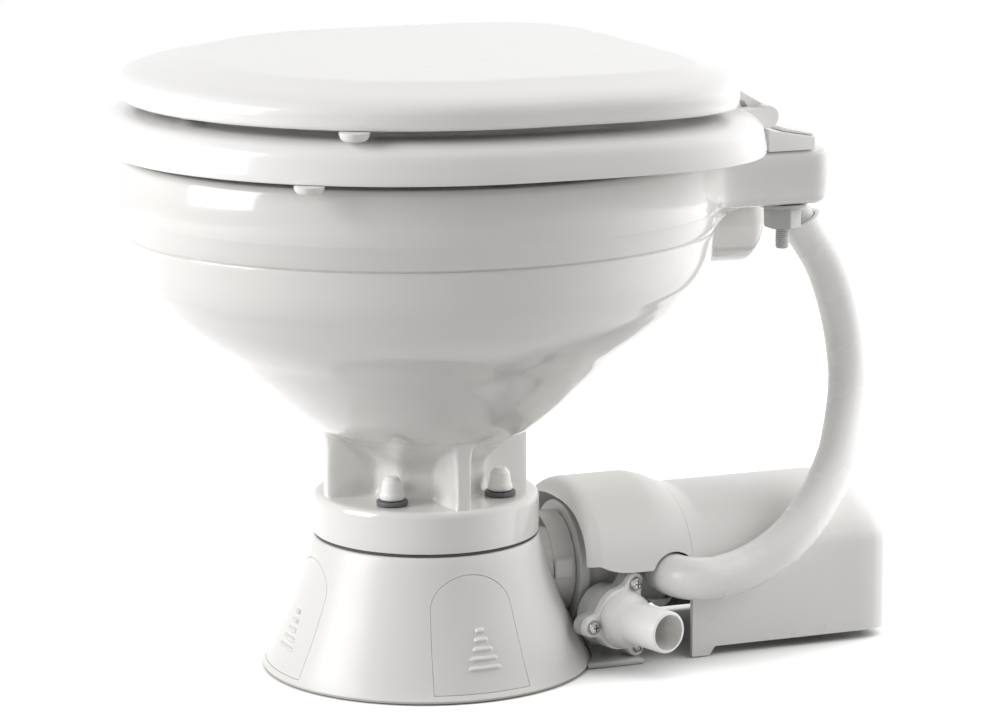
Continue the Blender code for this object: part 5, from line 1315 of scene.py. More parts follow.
@dataclass
class FootFixings:
    """The seal under the bowl, and the washers and caps of its four bolts."""

    seal_z: float = 0.0839
    seal_thick: float = 0.0014
    circle_r: float = 0.0505
    washer_z: float = 0.11173
    washer_r: float = 0.0097
    cap_z: float = 0.0031

    # The seal's radii; then a washer's bore, foot and top, and a cap's outline over its own foot.
    SEAL = (0.024, 0.0699)
    WASHER = (0.0046, 0.0001, 0.0028)
    CAP = (
        (0, 0.008), (0.0042, 0.008), (0.0042, 0), (0.0076, 0), (0.0076, 0.0036), (0.0068, 0.0048),
        (0.0060, 0.0115), (0.0034, 0.0145), (0, 0.0145),
    )

    def build(self) -> None:
        """Builds and dresses the seal, washers and caps."""
        section = washer_profile(*self.SEAL, self.seal_z, self.seal_z + self.seal_thick, 0.0004, 3)
        seal = turned("foot_seal", section, steps=128, bored=True)
        hand_over(seal, BLACK_RUBBER, Body.TOILET, "bowl_base_seal")
        bore, foot, top = self.WASHER
        section = washer_profile(bore, self.washer_r, foot, top, 0.0006)
        outline = rounded([(radius, self.cap_z + height) for radius, height in self.CAP], 0.0016)
        for index in range(1, 5):
            turn = math.radians(90 * index - 45)
            place = (self.circle_r * math.cos(turn), self.circle_r * math.sin(turn), self.washer_z)
            washer = turned("bolt_washer_%d" % index, section, place=place, bored=True)
            hand_over(washer, WASHER_DARK, Body.TOILET, "foot_washer_%d" % index)
            cap = turned("bolt_cap_%d" % index, outline, place=place)
            hand_over(cap, WHITE_RUBBER, Body.TOILET, "foot_cap_%d" % index)


# Pump


@dataclass
class DischargeEnd:
    """What sits on the outlet's slanting face: boss, port, lugs and screws."""

    face: tuple[float, float, float] = (0.0535, 0.107, 0.0305)
    turn: float = 18.0
    boss_r: float = 0.0195
    circle_r: float = 0.0236
    lug_r: float = 0.0070
    tube_r: float = 0.0133
    bore_r: float = 0.0113
    valve_seat_r: float = 0.0148
    valve_seat_z: float = 0.0029
    length: float = 0.049
    flange: float = 0.0053
    flange_edge: float = 0.0012
    boss_z: float = -0.0062
    boss_edge: float = 0.0008
    screw_hole_r: float = 0.0025
    screw_z: float = 0.0056
    slot_half_width: float = 0.0005
    slot_half_length: float = 0.0024
    slot_z: float = 0.0011
    lobe_steps: int = 144

    LUG_TURNS = (62, 184, 304)
    # How far past a lug its foot spreads, as a share of its radius.
    LUG_SPREAD = 2.1
    # The port's outline up to its tube, then the tube's mouth: inset of the radius and of the length.
    SHOULDER = (
        (0, 0.0022), (0.0183, 0.0022), (0.0180, 0.0090), (0.0168, 0.0150), (0.0137, 0.0195), (0.0133, 0.0260),
    )
    MOUTH = ((0.0001, 0.0009), (0.0006, 0.0001), (0.0009, 0.0))
    # The boss's neck, from its root to inside the lobed plate.
    NECK = (-0.015, -0.003)
    # A screw's outline over the plate: radius and height.
    SCREW = (
        (0.0, -0.0105), (0.0012, -0.0103), (0.0021, -0.009), (0.0021, 0.0), (0.0045, 0.0), (0.0045, 0.0009),
        (0.0040, 0.0020), (0.0024, 0.0026), (0, 0.0027),
    )

    @property
    def move(self) -> Matrix:
        """From the port's own upright axis to its place."""
        turn = Matrix.Rotation(math.radians(self.turn), 4, "Z")
        return Matrix.Translation(self.face) @ turn @ Axis.ALONG_X.matrix()

    def lug_place(self, turn: float) -> Vector:
        """The middle of a lug on the port's own face."""
        angle = math.radians(turn)
        return Vector((-math.sin(angle) * self.circle_r, math.cos(angle) * self.circle_r, 0.0))

    def plate_outline(self, grow: float) -> list[tuple[float, float]]:
        """The three-lobed outline, with hollow sides between the lugs and the hub.

        Args:
            grow: How far the outline stands out from its true size.

        Returns:
            The outline's (x, y) pairs.
        """
        outline = []
        for turn in full_turn(self.lobe_steps):
            way = Vector((math.cos(turn), math.sin(turn), 0))
            reaches = [self.boss_r + grow]
            for lug in self.LUG_TURNS:
                middle = self.lug_place(lug)
                along = middle.dot(way)
                off = (middle - way * along).length
                if along > 0 and off < self.lug_r:
                    reaches.append(along + math.sqrt(max((self.lug_r + grow) ** 2 - off**2, 0.0)))
                elif along > 0:
                    fade = max(0.0, 1 - (off / (self.lug_r * self.LUG_SPREAD)) ** 2)
                    reaches.append(max(self.boss_r + (along - self.boss_r) * fade**2, 0.0))
            outline.append(np.array((way.x, way.y)) * max(reaches))
        for _ in range(2):
            after = outline[1:] + outline[:1]
            outline = [(outline[i - 1] + 2 * outline[i] + after[i]) / 4 for i in range(self.lobe_steps)]
        return [(float(x), float(y)) for x, y in outline]

    def plate(self, name: str, start: float, end: float, edge: float) -> bpy.types.Object:
        """The lobed plate with rounded edges.

        Args:
            name: The object's name.
            start: Height of its lower face on the port's axis.
            end: Height of its upper face.
            edge: Radius of its edges.

        Returns:
            The plate.
        """
        sides = quarter_round(4)
        rows = [(start + edge * below, -edge * across) for across, below in reversed(sides)]
        rows += [(end - edge * below, -edge * across) for across, below in sides]
        return loft(name, [[Vector((x, y, z)) for x, y in self.plate_outline(grow)] for z, grow in rows])

    def port(self) -> bpy.types.Object:
        """The white port.

        Returns:
            Its plate, shoulder, tube and bore as one piece.
        """
        plate = self.plate("outlet_port", GAP, self.flange, self.flange_edge)
        tube = rounded((*self.SHOULDER, (self.tube_r, self.length), (0, self.length)), 0.0022)
        tube = [(radius, height) for radius, height in tube if height < self.length - self.flange_edge]
        tube += [(self.tube_r - inset, self.length - back) for inset, back in self.MOUTH] + [(0, self.length)]
        fused(plate, turned("tube", tube, steps=96))
        bore = rod("bore", self.bore_r, -OVERRUN, self.length + OVERRUN, steps=72)
        seat = rod("seat", self.valve_seat_r, -OVERRUN, self.valve_seat_z, steps=72)
        places = [self.lug_place(turn) for turn in self.LUG_TURNS]
        depths = (-OVERRUN, 3 * OVERRUN)
        holes = [rod("hole", self.screw_hole_r, *depths, place=place, steps=24) for place in places]
        return moved(cut(plate, bore, seat, *holes), self.move)

    def screw(self, index: int, turn: float) -> bpy.types.Object:
        """One pan-head screw with a cross recess.

        Args:
            index: The screw's number.
            turn: Its lug's place round the port, in degrees.

        Returns:
            The screw.
        """
        x, y, _ = place = self.lug_place(turn)
        outline = rounded([(radius, self.screw_z + height) for radius, height in self.SCREW], 0.0004, 3)
        screw = turned("port_screw_%d" % index, outline, place=place, steps=40)
        low, high = self.screw_z + self.slot_z, self.screw_z + 2 * OVERRUN
        sizes = (self.slot_half_width, self.slot_half_length)
        for across, along in (sizes, sizes[::-1]):
            cut(screw, box("slot", (x - across, y - along, low), (x + across, y + along, high)))
        return moved(screw, self.move)

    def boss(self) -> bpy.types.Object:
        """The housing's own boss and lugs behind the port."""
        boss = self.plate("boss", self.boss_z, 0.0, self.boss_edge)
        return moved(fused(boss, rod("neck", self.boss_r, *self.NECK, steps=72)), self.move)

    def build(self) -> None:
        """Builds and dresses the port and its screws."""
        hand_over(self.port(), PORT_WHITE, Body.TOILET, "discharge_port")
        for index, turn in enumerate(self.LUG_TURNS, 1):
            hand_over(self.screw(index, turn), BOLT_STEEL, Body.TOILET, "discharge_screw_%d" % index)


@dataclass
class PumpHousings:
    """The macerator's housing with its foot and outlet, and the flushing pump behind it."""

    start_y: float = 0.0888
    flange_r: float = 0.0395
    body_r: float = 0.035
    end_y: float = 0.126
    flush_r: float = 0.031
    flush_end_y: float = 0.157
    port_y: float = 0.1455
    port_z: float = 0.0545
    cavity_r: float = 0.030
    front_wall: float = 0.0035
    duct_place: tuple[float, float, float] = (0, 0.112, 0.0305)

    FOOT = ((-0.059, 0.080, 0.0), (0.059, 0.124, 0.0034))
    WEB = ((-0.016, 0.1055, 0.0017), (0.016, 0.122, 0.025))
    RIB = ((-0.0285, 0.107, 0.002), (-0.0255, 0.1225, 0.034))
    # Round parts and bores: radius, start and end along the axis.
    DUCT = (0.013, 0.008, 0.046)
    FRONT_BORE = (0.0222, 0.084, 0.0963)
    OUTLET_BORE = (0.0105, -0.013, OVERRUN)
    BASE_CLEARANCE = (0.1041, -OVERRUN, 0.006)
    FLUSH_CAVITY = (0.0205, 0.1348, 0.161)
    SHAFT_HOLE = (0.005, 0.1243, 0.139)
    SEAL_SEAT = (0.0103, 0.1223, 0.1316)
    PORT_BORE = (0.0066, -0.068, 0.054)
    # The inlet's hose tail: its end, its barbs and the rest of it, as radius and place along X.
    TAIL_END = ((0, -0.064), (0.0080, -0.064), (0.0092, -0.0630))
    TAIL_ROOT = ((0.0086, -0.038), (0.0092, -0.034), (0.0092, 0.050), (0, 0.050))
    BARB = ((0.0092, 0.0), (0.0100, 0.0032), (0.0090, 0.0042))
    FIRST_BARB, BARB_PITCH, BARBS = -0.0618, 0.0048, 4

    def macerator(self, outlet: DischargeEnd) -> bpy.types.Object:
        """The round housing with its duct, outlet boss, web and foot plate.

        Args:
            outlet: The discharge end that the boss carries.

        Returns:
            The housing.
        """
        centre = (0, 0, PUMP_AXIS_Z)
        profile = (
            (0, self.start_y), (self.flange_r, self.start_y), (self.flange_r, self.start_y + 0.0065),
            (self.body_r + 0.0008, self.start_y + 0.0072), (self.body_r, 0.1), (self.body_r, self.end_y),
            (0, self.end_y),
        )
        housing = turned("macerator_case", rounded(profile, 0.0012), Axis.ALONG_Y, centre, 96)
        duct = rod("duct", *self.DUCT, Axis.ALONG_X, self.duct_place, 48)
        foot = softened(box("foot", *self.FOOT), 0.0009)
        rib = softened(box("rib", *self.RIB), 0.0005)
        fused(housing, duct, outlet.boss(), box("web", *self.WEB), foot, rib)
        return cut(
            housing,
            pump_rod("front_bore", *self.FRONT_BORE),
            pump_rod("cavity", self.cavity_r, self.start_y + self.front_wall, self.end_y + OVERRUN),
            moved(rod("outlet_bore", *self.OUTLET_BORE, steps=48), outlet.move),
            rod("base_clearance", *self.BASE_CLEARANCE, steps=160),
        )

    def flush(self) -> bpy.types.Object:
        """The flushing pump's body, with a hose tail on its inlet.

        Returns:
            The body.
        """
        profile = (
            (0, 0.1263), (0.0295, 0.1263), (self.flush_r, 0.1278), (self.flush_r, 0.1355), (0.0300, 0.1365),
            (0.0300, 0.1515), (self.flush_r, 0.1525), (self.flush_r, self.flush_end_y), (0, self.flush_end_y),
        )
        centre, port = (0, 0, PUMP_AXIS_Z), (0, self.port_y, self.port_z)
        body = turned("flush_pump_case", rounded(profile, 0.0008), Axis.ALONG_Y, centre, 96)
        tail = list(self.TAIL_END)
        for barb in range(self.BARBS):
            start = self.FIRST_BARB + barb * self.BARB_PITCH
            tail += [(radius, start + along) for radius, along in self.BARB]
        fused(body, turned("tail", rounded((*tail, *self.TAIL_ROOT), 0.0004, 3), Axis.ALONG_X, port, 48))
        return cut(
            body,
            pump_rod("cavity", *self.FLUSH_CAVITY),
            rod("port_bore", *self.PORT_BORE, Axis.ALONG_X, port, 40),
            pump_rod("shaft_hole", *self.SHAFT_HOLE, 32),
            pump_rod("seal_seat", *self.SEAL_SEAT, 40),
        )

    def build(self, outlet: DischargeEnd) -> None:
        """Builds and dresses both pumps' housings."""
        # The housings wear the darker copy of the base plastic, painted shade.
        hand_over(self.macerator(outlet), SHADED_PUMP_GREY, Body.TOILET, "macerator_housing")
        hand_over(self.flush(), SHADED_PUMP_GREY, Body.TOILET, "flush_pump_body")


# Motor cover


@dataclass
class MotorCover:
    """The thin moulded cover over the pump and motor."""

    half_width: float = 0.058
    front_y: float = 0.0862
    rear_y: float = 0.2985
    pump_top: float = 0.1094
    motor_top: float = 0.0992
    pump_centre: float = 0.055
    motor_centre: float = 0.062
    wall: float = 0.003
    power: float = 2.15
    open_half_width: float = 0.0545
    open_top: float = 0.098
    open_centre: float = 0.060
    nose_end_y: float = 0.0945
    notch_y: float = 0.1455
    notch_z: float = 0.0545
    notch_r: float = 0.0152
    leg_front_y: float = 0.1575
    leg_rear_y: float = 0.172
    start_y: float = 0.085
    foot_z: float = 0.0004
    rear_foot_z: float = 0.006
    foot_ramp: float = 0.005
    step_z: float = 0.0700
    step_height: float = 0.0022
    step_depth: float = 0.0007
    open_power: float = 2.6
    rear_wall: float = 0.02
    # How far the inner skin lies behind the outer one where the nose meets the full section.
    nose_depth: float = 0.0008
    columns: int = 40
    curve_steps: int = 60
    notch_rows: int = 25
    leg_rows: int = 8
    # How close rows lie on either side of the leg's upright front edge.
    edge_gap: float = 0.0001

    # Place along the cover, inset of the sides, drop of the top, and pump (0) or motor (1) shape.
    STATIONS = (
        (0.03, 0.012, 0.012, 0), (0.06, 0, 0, 0), (0.235, 0, 0, 0), (0.285, 0, 0.012, 0.12),
        (0.330, 0, 0.018, 0.48), (0.365, 0, 0.008, 0.82), (0.405, 0, 0, 1), (0.60, 0, 0, 1), (0.85, 0, 0, 1),
        (0.890, 0, 0.006, 1), (0.935, 0.010, 0.055, 1), (0.960, 0.034, 0.115, 1), (0.978, 0.068, 0.195, 1),
        (0.990, 0.118, 0.285, 1), (0.997, 0.17, 0.36, 1), (1.0, 0.22, 0.43, 1),
    )
    # Lower edge in front of the leg: place along Y and height.
    EDGE = (
        (0.0862, 0.0652), (0.0925, 0.0652), (0.0945, 0.0648), (0.0970, 0.0637), (0.1000, 0.0623),
        (0.1040, 0.0609), (0.1093, 0.0598), (0.116, 0.0593), (0.126, 0.0591), (0.1575, 0.0591),
    )

    # The nose from its opening to the full section: share of the way and how far back it lies.
    NOSE = (
        (0.0, 0.0012), (0.05, 0.0004), (0.16, 0.0), (0.34, 0.0), (0.54, 0.0006), (0.72, 0.0018),
        (0.87, 0.0038), (0.96, 0.0060),
    )
    # Places along Y where the lower edge behind the nose needs rows of its own.
    EDGE_ROWS = (0.0945, 0.0957, 0.0970, 0.0985, 0.1, 0.102, 0.104, 0.1065, 0.1093, 0.1125, 0.116)
    SADDLE_YS = (0.185, 0.245)
    SADDLE = ((-0.022, 0.0, 0.083), (0.022, 0.005, 0.0935))
    MOTOR_R = 0.0364
    CABLE = (-0.034, 0, 0.030)
    CABLE_HOLE_R = 0.006
    # The grommet's bore, neck and flange radii, and its flanges' thickness.
    GROMMET = (0.0035, 0.0057, 0.0085, 0.002)

    def low_z(self, y: float) -> float:
        """Height of the cover's lower edge at a place along it.

        Args:
            y: The place.

        Returns:
            The height.
        """
        if y > self.leg_front_y:
            rise = eased((y - self.leg_rear_y + self.wall) / self.foot_ramp)
            return self.foot_z + (self.rear_foot_z - self.foot_z) * rise
        edge = float(np.interp(y, [place for place, _ in self.EDGE], [height for _, height in self.EDGE]))
        off = abs(y - self.notch_y)
        if off < self.notch_r:
            edge = max(edge, self.notch_z + math.sqrt(self.notch_r**2 - off**2))
        return edge

    def spaced(self, curve: Profile, y: float) -> Ring:
        """Points at even shares of a curve.

        Args:
            curve: The curve's (x, z) pairs.
            y: The place along the cover.

        Returns:
            The points.
        """
        lengths = np.concatenate([[0], np.cumsum([math.dist(a, b) for a, b in zip(curve, curve[1:])])])
        marks = np.linspace(0, lengths[-1], self.columns + 1)
        xs, zs = (np.interp(marks, lengths, values) for values in zip(*curve))
        return [Vector((float(x), y, float(z))) for x, z in zip(xs, zs)]

    def arc(self, half: float, centre: float, rise: float, power: float) -> list[tuple[float, float]]:
        """A quarter of a squarish ellipse.

        Args:
            half: Its half width.
            centre: Height of its middle.
            rise: Its height over that.
            power: How square it is, from 2 for an ellipse.

        Returns:
            Its (x, z) pairs from the top to the side.
        """
        curve = []
        for step in range(self.curve_steps + 1):
            turn = math.pi / 2 * (1 - step / self.curve_steps)
            across, up = (max(value, 0.0) ** (2 / power) for value in (math.cos(turn), math.sin(turn)))
            curve.append((half * across, centre + rise * up))
        return curve

    def half_section(self, y: float, row: Sequence[float], inset: float) -> Ring:
        """One side of a cross-section, from the top to the lower edge.

        Args:
            y: The place along the cover.
            row: Inset of the sides, drop of the top and pump or motor shape.
            inset: How far the surface is drawn in.

        Returns:
            Points at even shares of the curve.
        """
        side_share, top_share, motor = row
        top = self.pump_top + motor * (self.motor_top - self.pump_top)
        centre = self.pump_centre + motor * (self.motor_centre - self.pump_centre)
        half = self.half_width * (1 - side_share) - inset
        rise = (top - centre) * (1 - top_share) - inset
        low = self.low_z(y)
        curve = []
        for x, z in self.arc(half, centre, rise, self.power):
            share = min(max((z - self.step_z) / self.step_height, 0.0), 1.0)
            curve.append((x - self.step_depth * motor * share * x / half, z))
        curve.append((half, min(low, centre - 0.001) - 0.001))
        kept = [curve[0]]
        for (x0, z0), (x1, z1) in zip(curve, curve[1:]):
            if z1 <= low:
                share = (z0 - low) / max(z0 - z1, TINY)
                kept.append((x0 + (x1 - x0) * share, low))
                break
            kept.append((x1, z1))
        return self.spaced(kept, y)

    def open_section(self, y: float) -> Ring:
        """One side of the front opening's outline, from its top to the lower edge.

        Args:
            y: The place along the cover.

        Returns:
            Points at even shares of the outline.
        """
        low = self.low_z(y)
        rise = self.open_top - self.open_centre
        curve = self.arc(self.open_half_width, self.open_centre, rise, self.open_power)
        return self.spaced([point for point in curve if point[1] > low] + [(curve[-1][0], low)], y)

    def whole(self, half: Ring) -> Ring:
        """A half section with its mirror image, from the right foot over the top to the left."""
        return half[::-1] + [Vector((-point.x, point.y, point.z)) for point in half[1:]]

    def rows(self) -> list[tuple[float, tuple[float, ...]]]:
        """Places along the cover with their shapes, close together where the lower edge turns.

        Returns:
            Each place along Y, with its row for half_section.
        """
        length = self.rear_y - self.start_y
        table = flowing(self.STATIONS, 5)
        places = [self.start_y + row[0] * length for row in table] + list(self.EDGE_ROWS)
        near = self.edge_gap
        notch_end = self.notch_y + min(self.notch_r, self.leg_front_y - self.notch_y - 2 * near)
        places += list(np.linspace(self.notch_y - self.notch_r, notch_end, self.notch_rows))
        places += [self.leg_front_y - near, self.leg_front_y + near]
        places += list(np.linspace(self.leg_rear_y - OVERRUN, self.leg_rear_y + self.wall, self.leg_rows))
        shares, *columns = zip(*table)
        made = []
        for y in sorted(set(round(place, 6) for place in places if place >= self.nose_end_y)):
            share = (y - self.start_y) / length
            made.append((y, tuple(float(np.interp(share, shares, column)) for column in columns)))
        return made

    def skins(self) -> tuple[list[Ring], list[Ring]]:
        """The rings of the outer and the inner skin.

        Returns:
            As many outer as inner rings, from the nose to the rear.
        """
        rows = self.rows()
        outer, inner = [], []
        full = self.half_section(*rows[0], 0)
        full_in = self.half_section(*rows[0], self.wall)
        for share, back in self.NOSE:
            y = self.front_y + back
            inner_y = y + self.wall * (1 - share) + self.nose_depth * share
            for skin, target, place in ((outer, full, y), (inner, full_in, inner_y)):
                ring = [a.lerp(b, share) for a, b in zip(self.open_section(y), target)]
                skin.append(self.whole([Vector((point.x, place, point.z)) for point in ring]))
        for y, row in rows:
            outer.append(self.whole(self.half_section(y, row, 0)))
            drop = self.wall * min(max((y - self.rear_y) / self.rear_wall + 1, 0.0), 1.0)
            back = self.whole(self.half_section(y, row, self.wall))
            inner.append([point - Vector((0, drop, 0)) for point in back])
        return outer, inner

    def shell(self) -> bpy.types.Object:
        """The cover's outer and inner skins, closed along every edge.

        Returns:
            The cover.
        """
        outer, inner = self.skins()
        count, width = len(outer), len(outer[0])
        points = [point for ring in outer + inner for point in ring]
        shift = count * width
        faces: list[tuple[int, ...]] = []
        for row in range(count - 1):
            for a in range(row * width, row * width + width - 1):
                faces.append((a, a + 1, a + width + 1, a + width))
                faces.append((shift + a + width, shift + a + width + 1, shift + a + 1, shift + a))
            for a in (row * width, row * width + width - 1):
                faces.append((a, a + width, shift + a + width, shift + a))
        for column in range(width - 1):
            faces.append((column, column + 1, shift + column + 1, shift + column))
        last = (count - 1) * width
        faces.append(tuple(range(last, last + width)))
        faces.append(tuple(range(shift + last + width - 1, shift + last - 1, -1)))
        faces.append((last, last + width - 1, shift + last + width - 1, shift + last))
        return mesh_object("pump_cover", points, faces)

    def build(self) -> None:
        """Builds and dresses the cover, its saddles and its cable grommet."""
        cover = self.shell()
        start, end = self.rear_y - 3 * OVERRUN, self.rear_y + OVERRUN
        cut(cover, rod("cable_hole", self.CABLE_HOLE_R, start, end, Axis.ALONG_Y, self.CABLE, 40))
        hand_over(cover, COVER_WHITE, Body.TOILET, "motor_cover")
        for index, y in enumerate(self.SADDLE_YS, 1):
            saddle = moved(box("saddle", *self.SADDLE), Matrix.Translation((0, y, 0)))
            motor = pump_rod("motor", self.MOTOR_R, y - OVERRUN, y + 3 * OVERRUN, 96)
            saddle = softened(cut(saddle, motor), 0.0004)
            hand_over(gathered("cover_saddle_%d" % index, [saddle]), COVER_WHITE, Body.TOILET)
        outer, inner = self.rear_y + GAP, self.rear_y - self.wall - GAP
        bore, neck, flange, thick = self.GROMMET
        profile = (
            (bore, inner - thick), (flange, inner - thick), (flange, inner), (neck, inner), (neck, outer),
            (flange, outer), (flange, outer + thick), (bore, outer + thick), (bore, inner - thick + 0.0002),
        )
        grommet = turned("cable_ring", rounded(profile, 0.0006), Axis.ALONG_Y, self.CABLE, 48, bored=True)
        hand_over(grommet, BLACK_RUBBER, Body.TOILET, "cable_grommet")


# Hose


@dataclass
class RinseLine:
    """The stiff rinse hose and the elbow that carries it from the bowl's horn."""

    hose_r: float = 0.0135
    hose_bore: float = 0.0098
    elbow_r: float = 0.0092
    elbow_bore: float = 0.0068
    bend_r: float = 0.017
    bend_y: float = 0.242
    bend: float = 61.0
    inlet_z: float = 0.276
    inlet_y: float = 0.214
    tail: float = 0.011
    rim: float = 0.0009

    # Bore, radius, foot and top of the elbow's collar and of its seal in the horn.
    COLLAR = (0.0086, 0.0125, 0.225, 0.228)
    SEAL = (0.0095, 0.0137, 0.2133, 0.224)

    ROUTE = (
        (0.0, 0.2574, 0.2663), (0.0, 0.2620, 0.2580), (0.0, 0.2754, 0.2369), (0.002, 0.2841, 0.2117),
        (0.008, 0.2873, 0.1862), (0.018, 0.2850, 0.1619), (0.032, 0.2757, 0.1390), (0.049, 0.2610, 0.1165),
        (0.0640, 0.2390, 0.0932), (0.0725, 0.2157, 0.0742), (0.0745, 0.1905, 0.0610),
        (0.0745, 0.1690, 0.0556), (0.0725, 0.1588, 0.0548), (0.0676, 0.1519, 0.0545),
        (0.0604, 0.1472, 0.0545), (0.0525, 0.1455, 0.0545), (0.0410, 0.1455, 0.0545),
    )

    def hose(self) -> None:
        route = smooth_route(self.ROUTE, 9)
        last = len(route) - 1

        def section(share: float) -> tuple[float, float]:
            rim = self.rim * max(0.0, 1 - min(share, 1 - share) * last) ** 2
            return self.hose_r - rim, self.hose_bore + rim * 0.5

        hose = swept("rinse_line", route, section, 40)
        hand_over(hose, HOSE_WHITE, Body.TOILET, "rinse_hose")
        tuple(self.ROUTE[0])

    def elbow(self) -> bpy.types.Object:
        """The elbow with its collar.

        Returns:
            The elbow.
        """
        bend, straight = math.radians(self.bend), self.bend_y - self.inlet_y
        route = [Vector((0, self.inlet_y + straight * step / 6, self.inlet_z)) for step in range(7)]
        middle = Vector((0, self.bend_y, self.inlet_z - self.bend_r))
        for step in range(1, 13):
            turn = bend * step / 12
            route.append(middle + self.bend_r * Vector((0, math.sin(turn), math.cos(turn))))
        down = Vector((0, math.cos(bend), -math.sin(bend)))
        route += [route[-1] + down * self.tail / 2, route[-1] + down * self.tail]
        elbow = swept("inlet_bend", route, lambda share: (self.elbow_r, self.elbow_bore), 48)
        return gathered("inlet_bend_and_collar", [elbow, self.washer("collar", self.COLLAR)])

    def washer(self, name: str, sizes: tuple[float, float, float, float]) -> bpy.types.Object:
        """A ring round the horn's inlet, from its bore, radius and two places along Y."""
        place = (0, 0, self.inlet_z)
        return turned(name, washer_profile(*sizes, 0.0007), Axis.ALONG_Y, place, 64, bored=True)

    def build(self) -> None:
        """Builds and dresses the elbow, its seal and the hose."""
        # The elbow wears the darker copy of the base plastic, painted shade.
        hand_over(self.elbow(), SHADED_PUMP_GREY, Body.TOILET, "inlet_elbow")
        hand_over(self.washer("horn_seal", self.SEAL), BLACK_RUBBER, Body.TOILET, "inlet_seal")
        self.hose()


# Seat, lid and hinges


@dataclass
class HingeLine:
    """Where the seat and the lid turn, and the sizes that their hinge pieces share."""

    y: float = 0.1875
    z: float = 0.3478
    knuckle_r: float = 0.007
    pin_r: float = 0.0025
    block_inner_x: float = 0.062
    block_outer_x: float = 0.095
    arm_inner_x: float = 0.0745
    arm_thick: float = 0.011
    ear_inner_x: float = 0.0865
    ear_thick: float = 0.0105
    lug_thick: float = 0.0115
    # How far into the seat's ear the pin goes, as a share of the ear.
    pin_share: float = 0.75

    @staticmethod
    def span(side: Side, near: float, far: float) -> tuple[float, float]:
        """Two distances from the middle as an ordered pair on one side."""
        low, high = sorted((side.value * near, side.value * far))
        return low, high

    def knuckle(self, name: str, side: Side, near: float, far: float) -> bpy.types.Object:
        """A round knuckle on the hinge line with softened ends."""
        start, end = self.span(side, near, far)
        return rod(name, self.knuckle_r, start, end, Axis.ALONG_X, (0, self.y, self.z), 64, 0.0008)

    def pin_hole(self, side: Side, near: float, far: float) -> bpy.types.Object:
        """The pin's hole between two distances from the middle."""
        start, end = self.span(side, near, far)
        return rod("pin_hole", self.pin_r + GAP, start, end, Axis.ALONG_X, (0, self.y, self.z), 32)


# A buffer's radii at its foot, its swell and its top.
BUFFER_RADII = (0.0068, 0.0082, 0.0090)


@dataclass(frozen=True)
class Plan:
    """An outline seen from above, with its own shape in front and behind."""

    width: float
    front: float
    rear: float
    front_power: float
    rear_power: float

    def radius(self, turn: float) -> float:
        """How far the outline is from its middle.

        Args:
            turn: Angle from the rear.

        Returns:
            The radius.
        """
        sine, cosine = abs(math.sin(turn)), math.cos(turn)
        reach, power = (self.rear, self.rear_power) if cosine > 0 else (self.front, self.front_power)
        return 1 / ((sine / self.width) ** power + (abs(cosine) / reach) ** power) ** (1 / power)


def plan_ring(turns: Sequence[float], radii: Sequence[float], z: float) -> Ring:
    """A level ring, from its angles from the rear and its radii."""
    rows = zip(turns, radii)
    return [Vector((radius * math.sin(turn), radius * math.cos(turn), z)) for turn, radius in rows]


def buffers(
    name: str, places: Sequence[tuple[float, float]], low: float, high: float, body: Body, nodes: str,
) -> None:
    """Builds rubber buffers in pairs under the seat or the lid.

    Args:
        name: Start of the pieces' names.
        places: Places of the right-hand ones, a positive second number in front.
        low: Height of their feet.
        high: Height of their tops.
        body: The body that carries them.
        nodes: Start of the CAD nodes' names.
    """
    foot, swell, top = BUFFER_RADII
    profile = ((0, low), (foot, low), (swell, low + 0.0016), (top, high - 0.0004), (top, high), (0, high))
    sides = [(place, side) for place in places for side in Side]
    for index, ((x, front), side) in enumerate(sides, 1):
        place = (side.value * x, -front, 0)
        buffer = turned("%s_%d" % (name, index), rounded(profile, 0.0009), place=place, steps=48)
        hand_over(buffer, WHITE_RUBBER, body, "%s_%d" % (nodes, index))


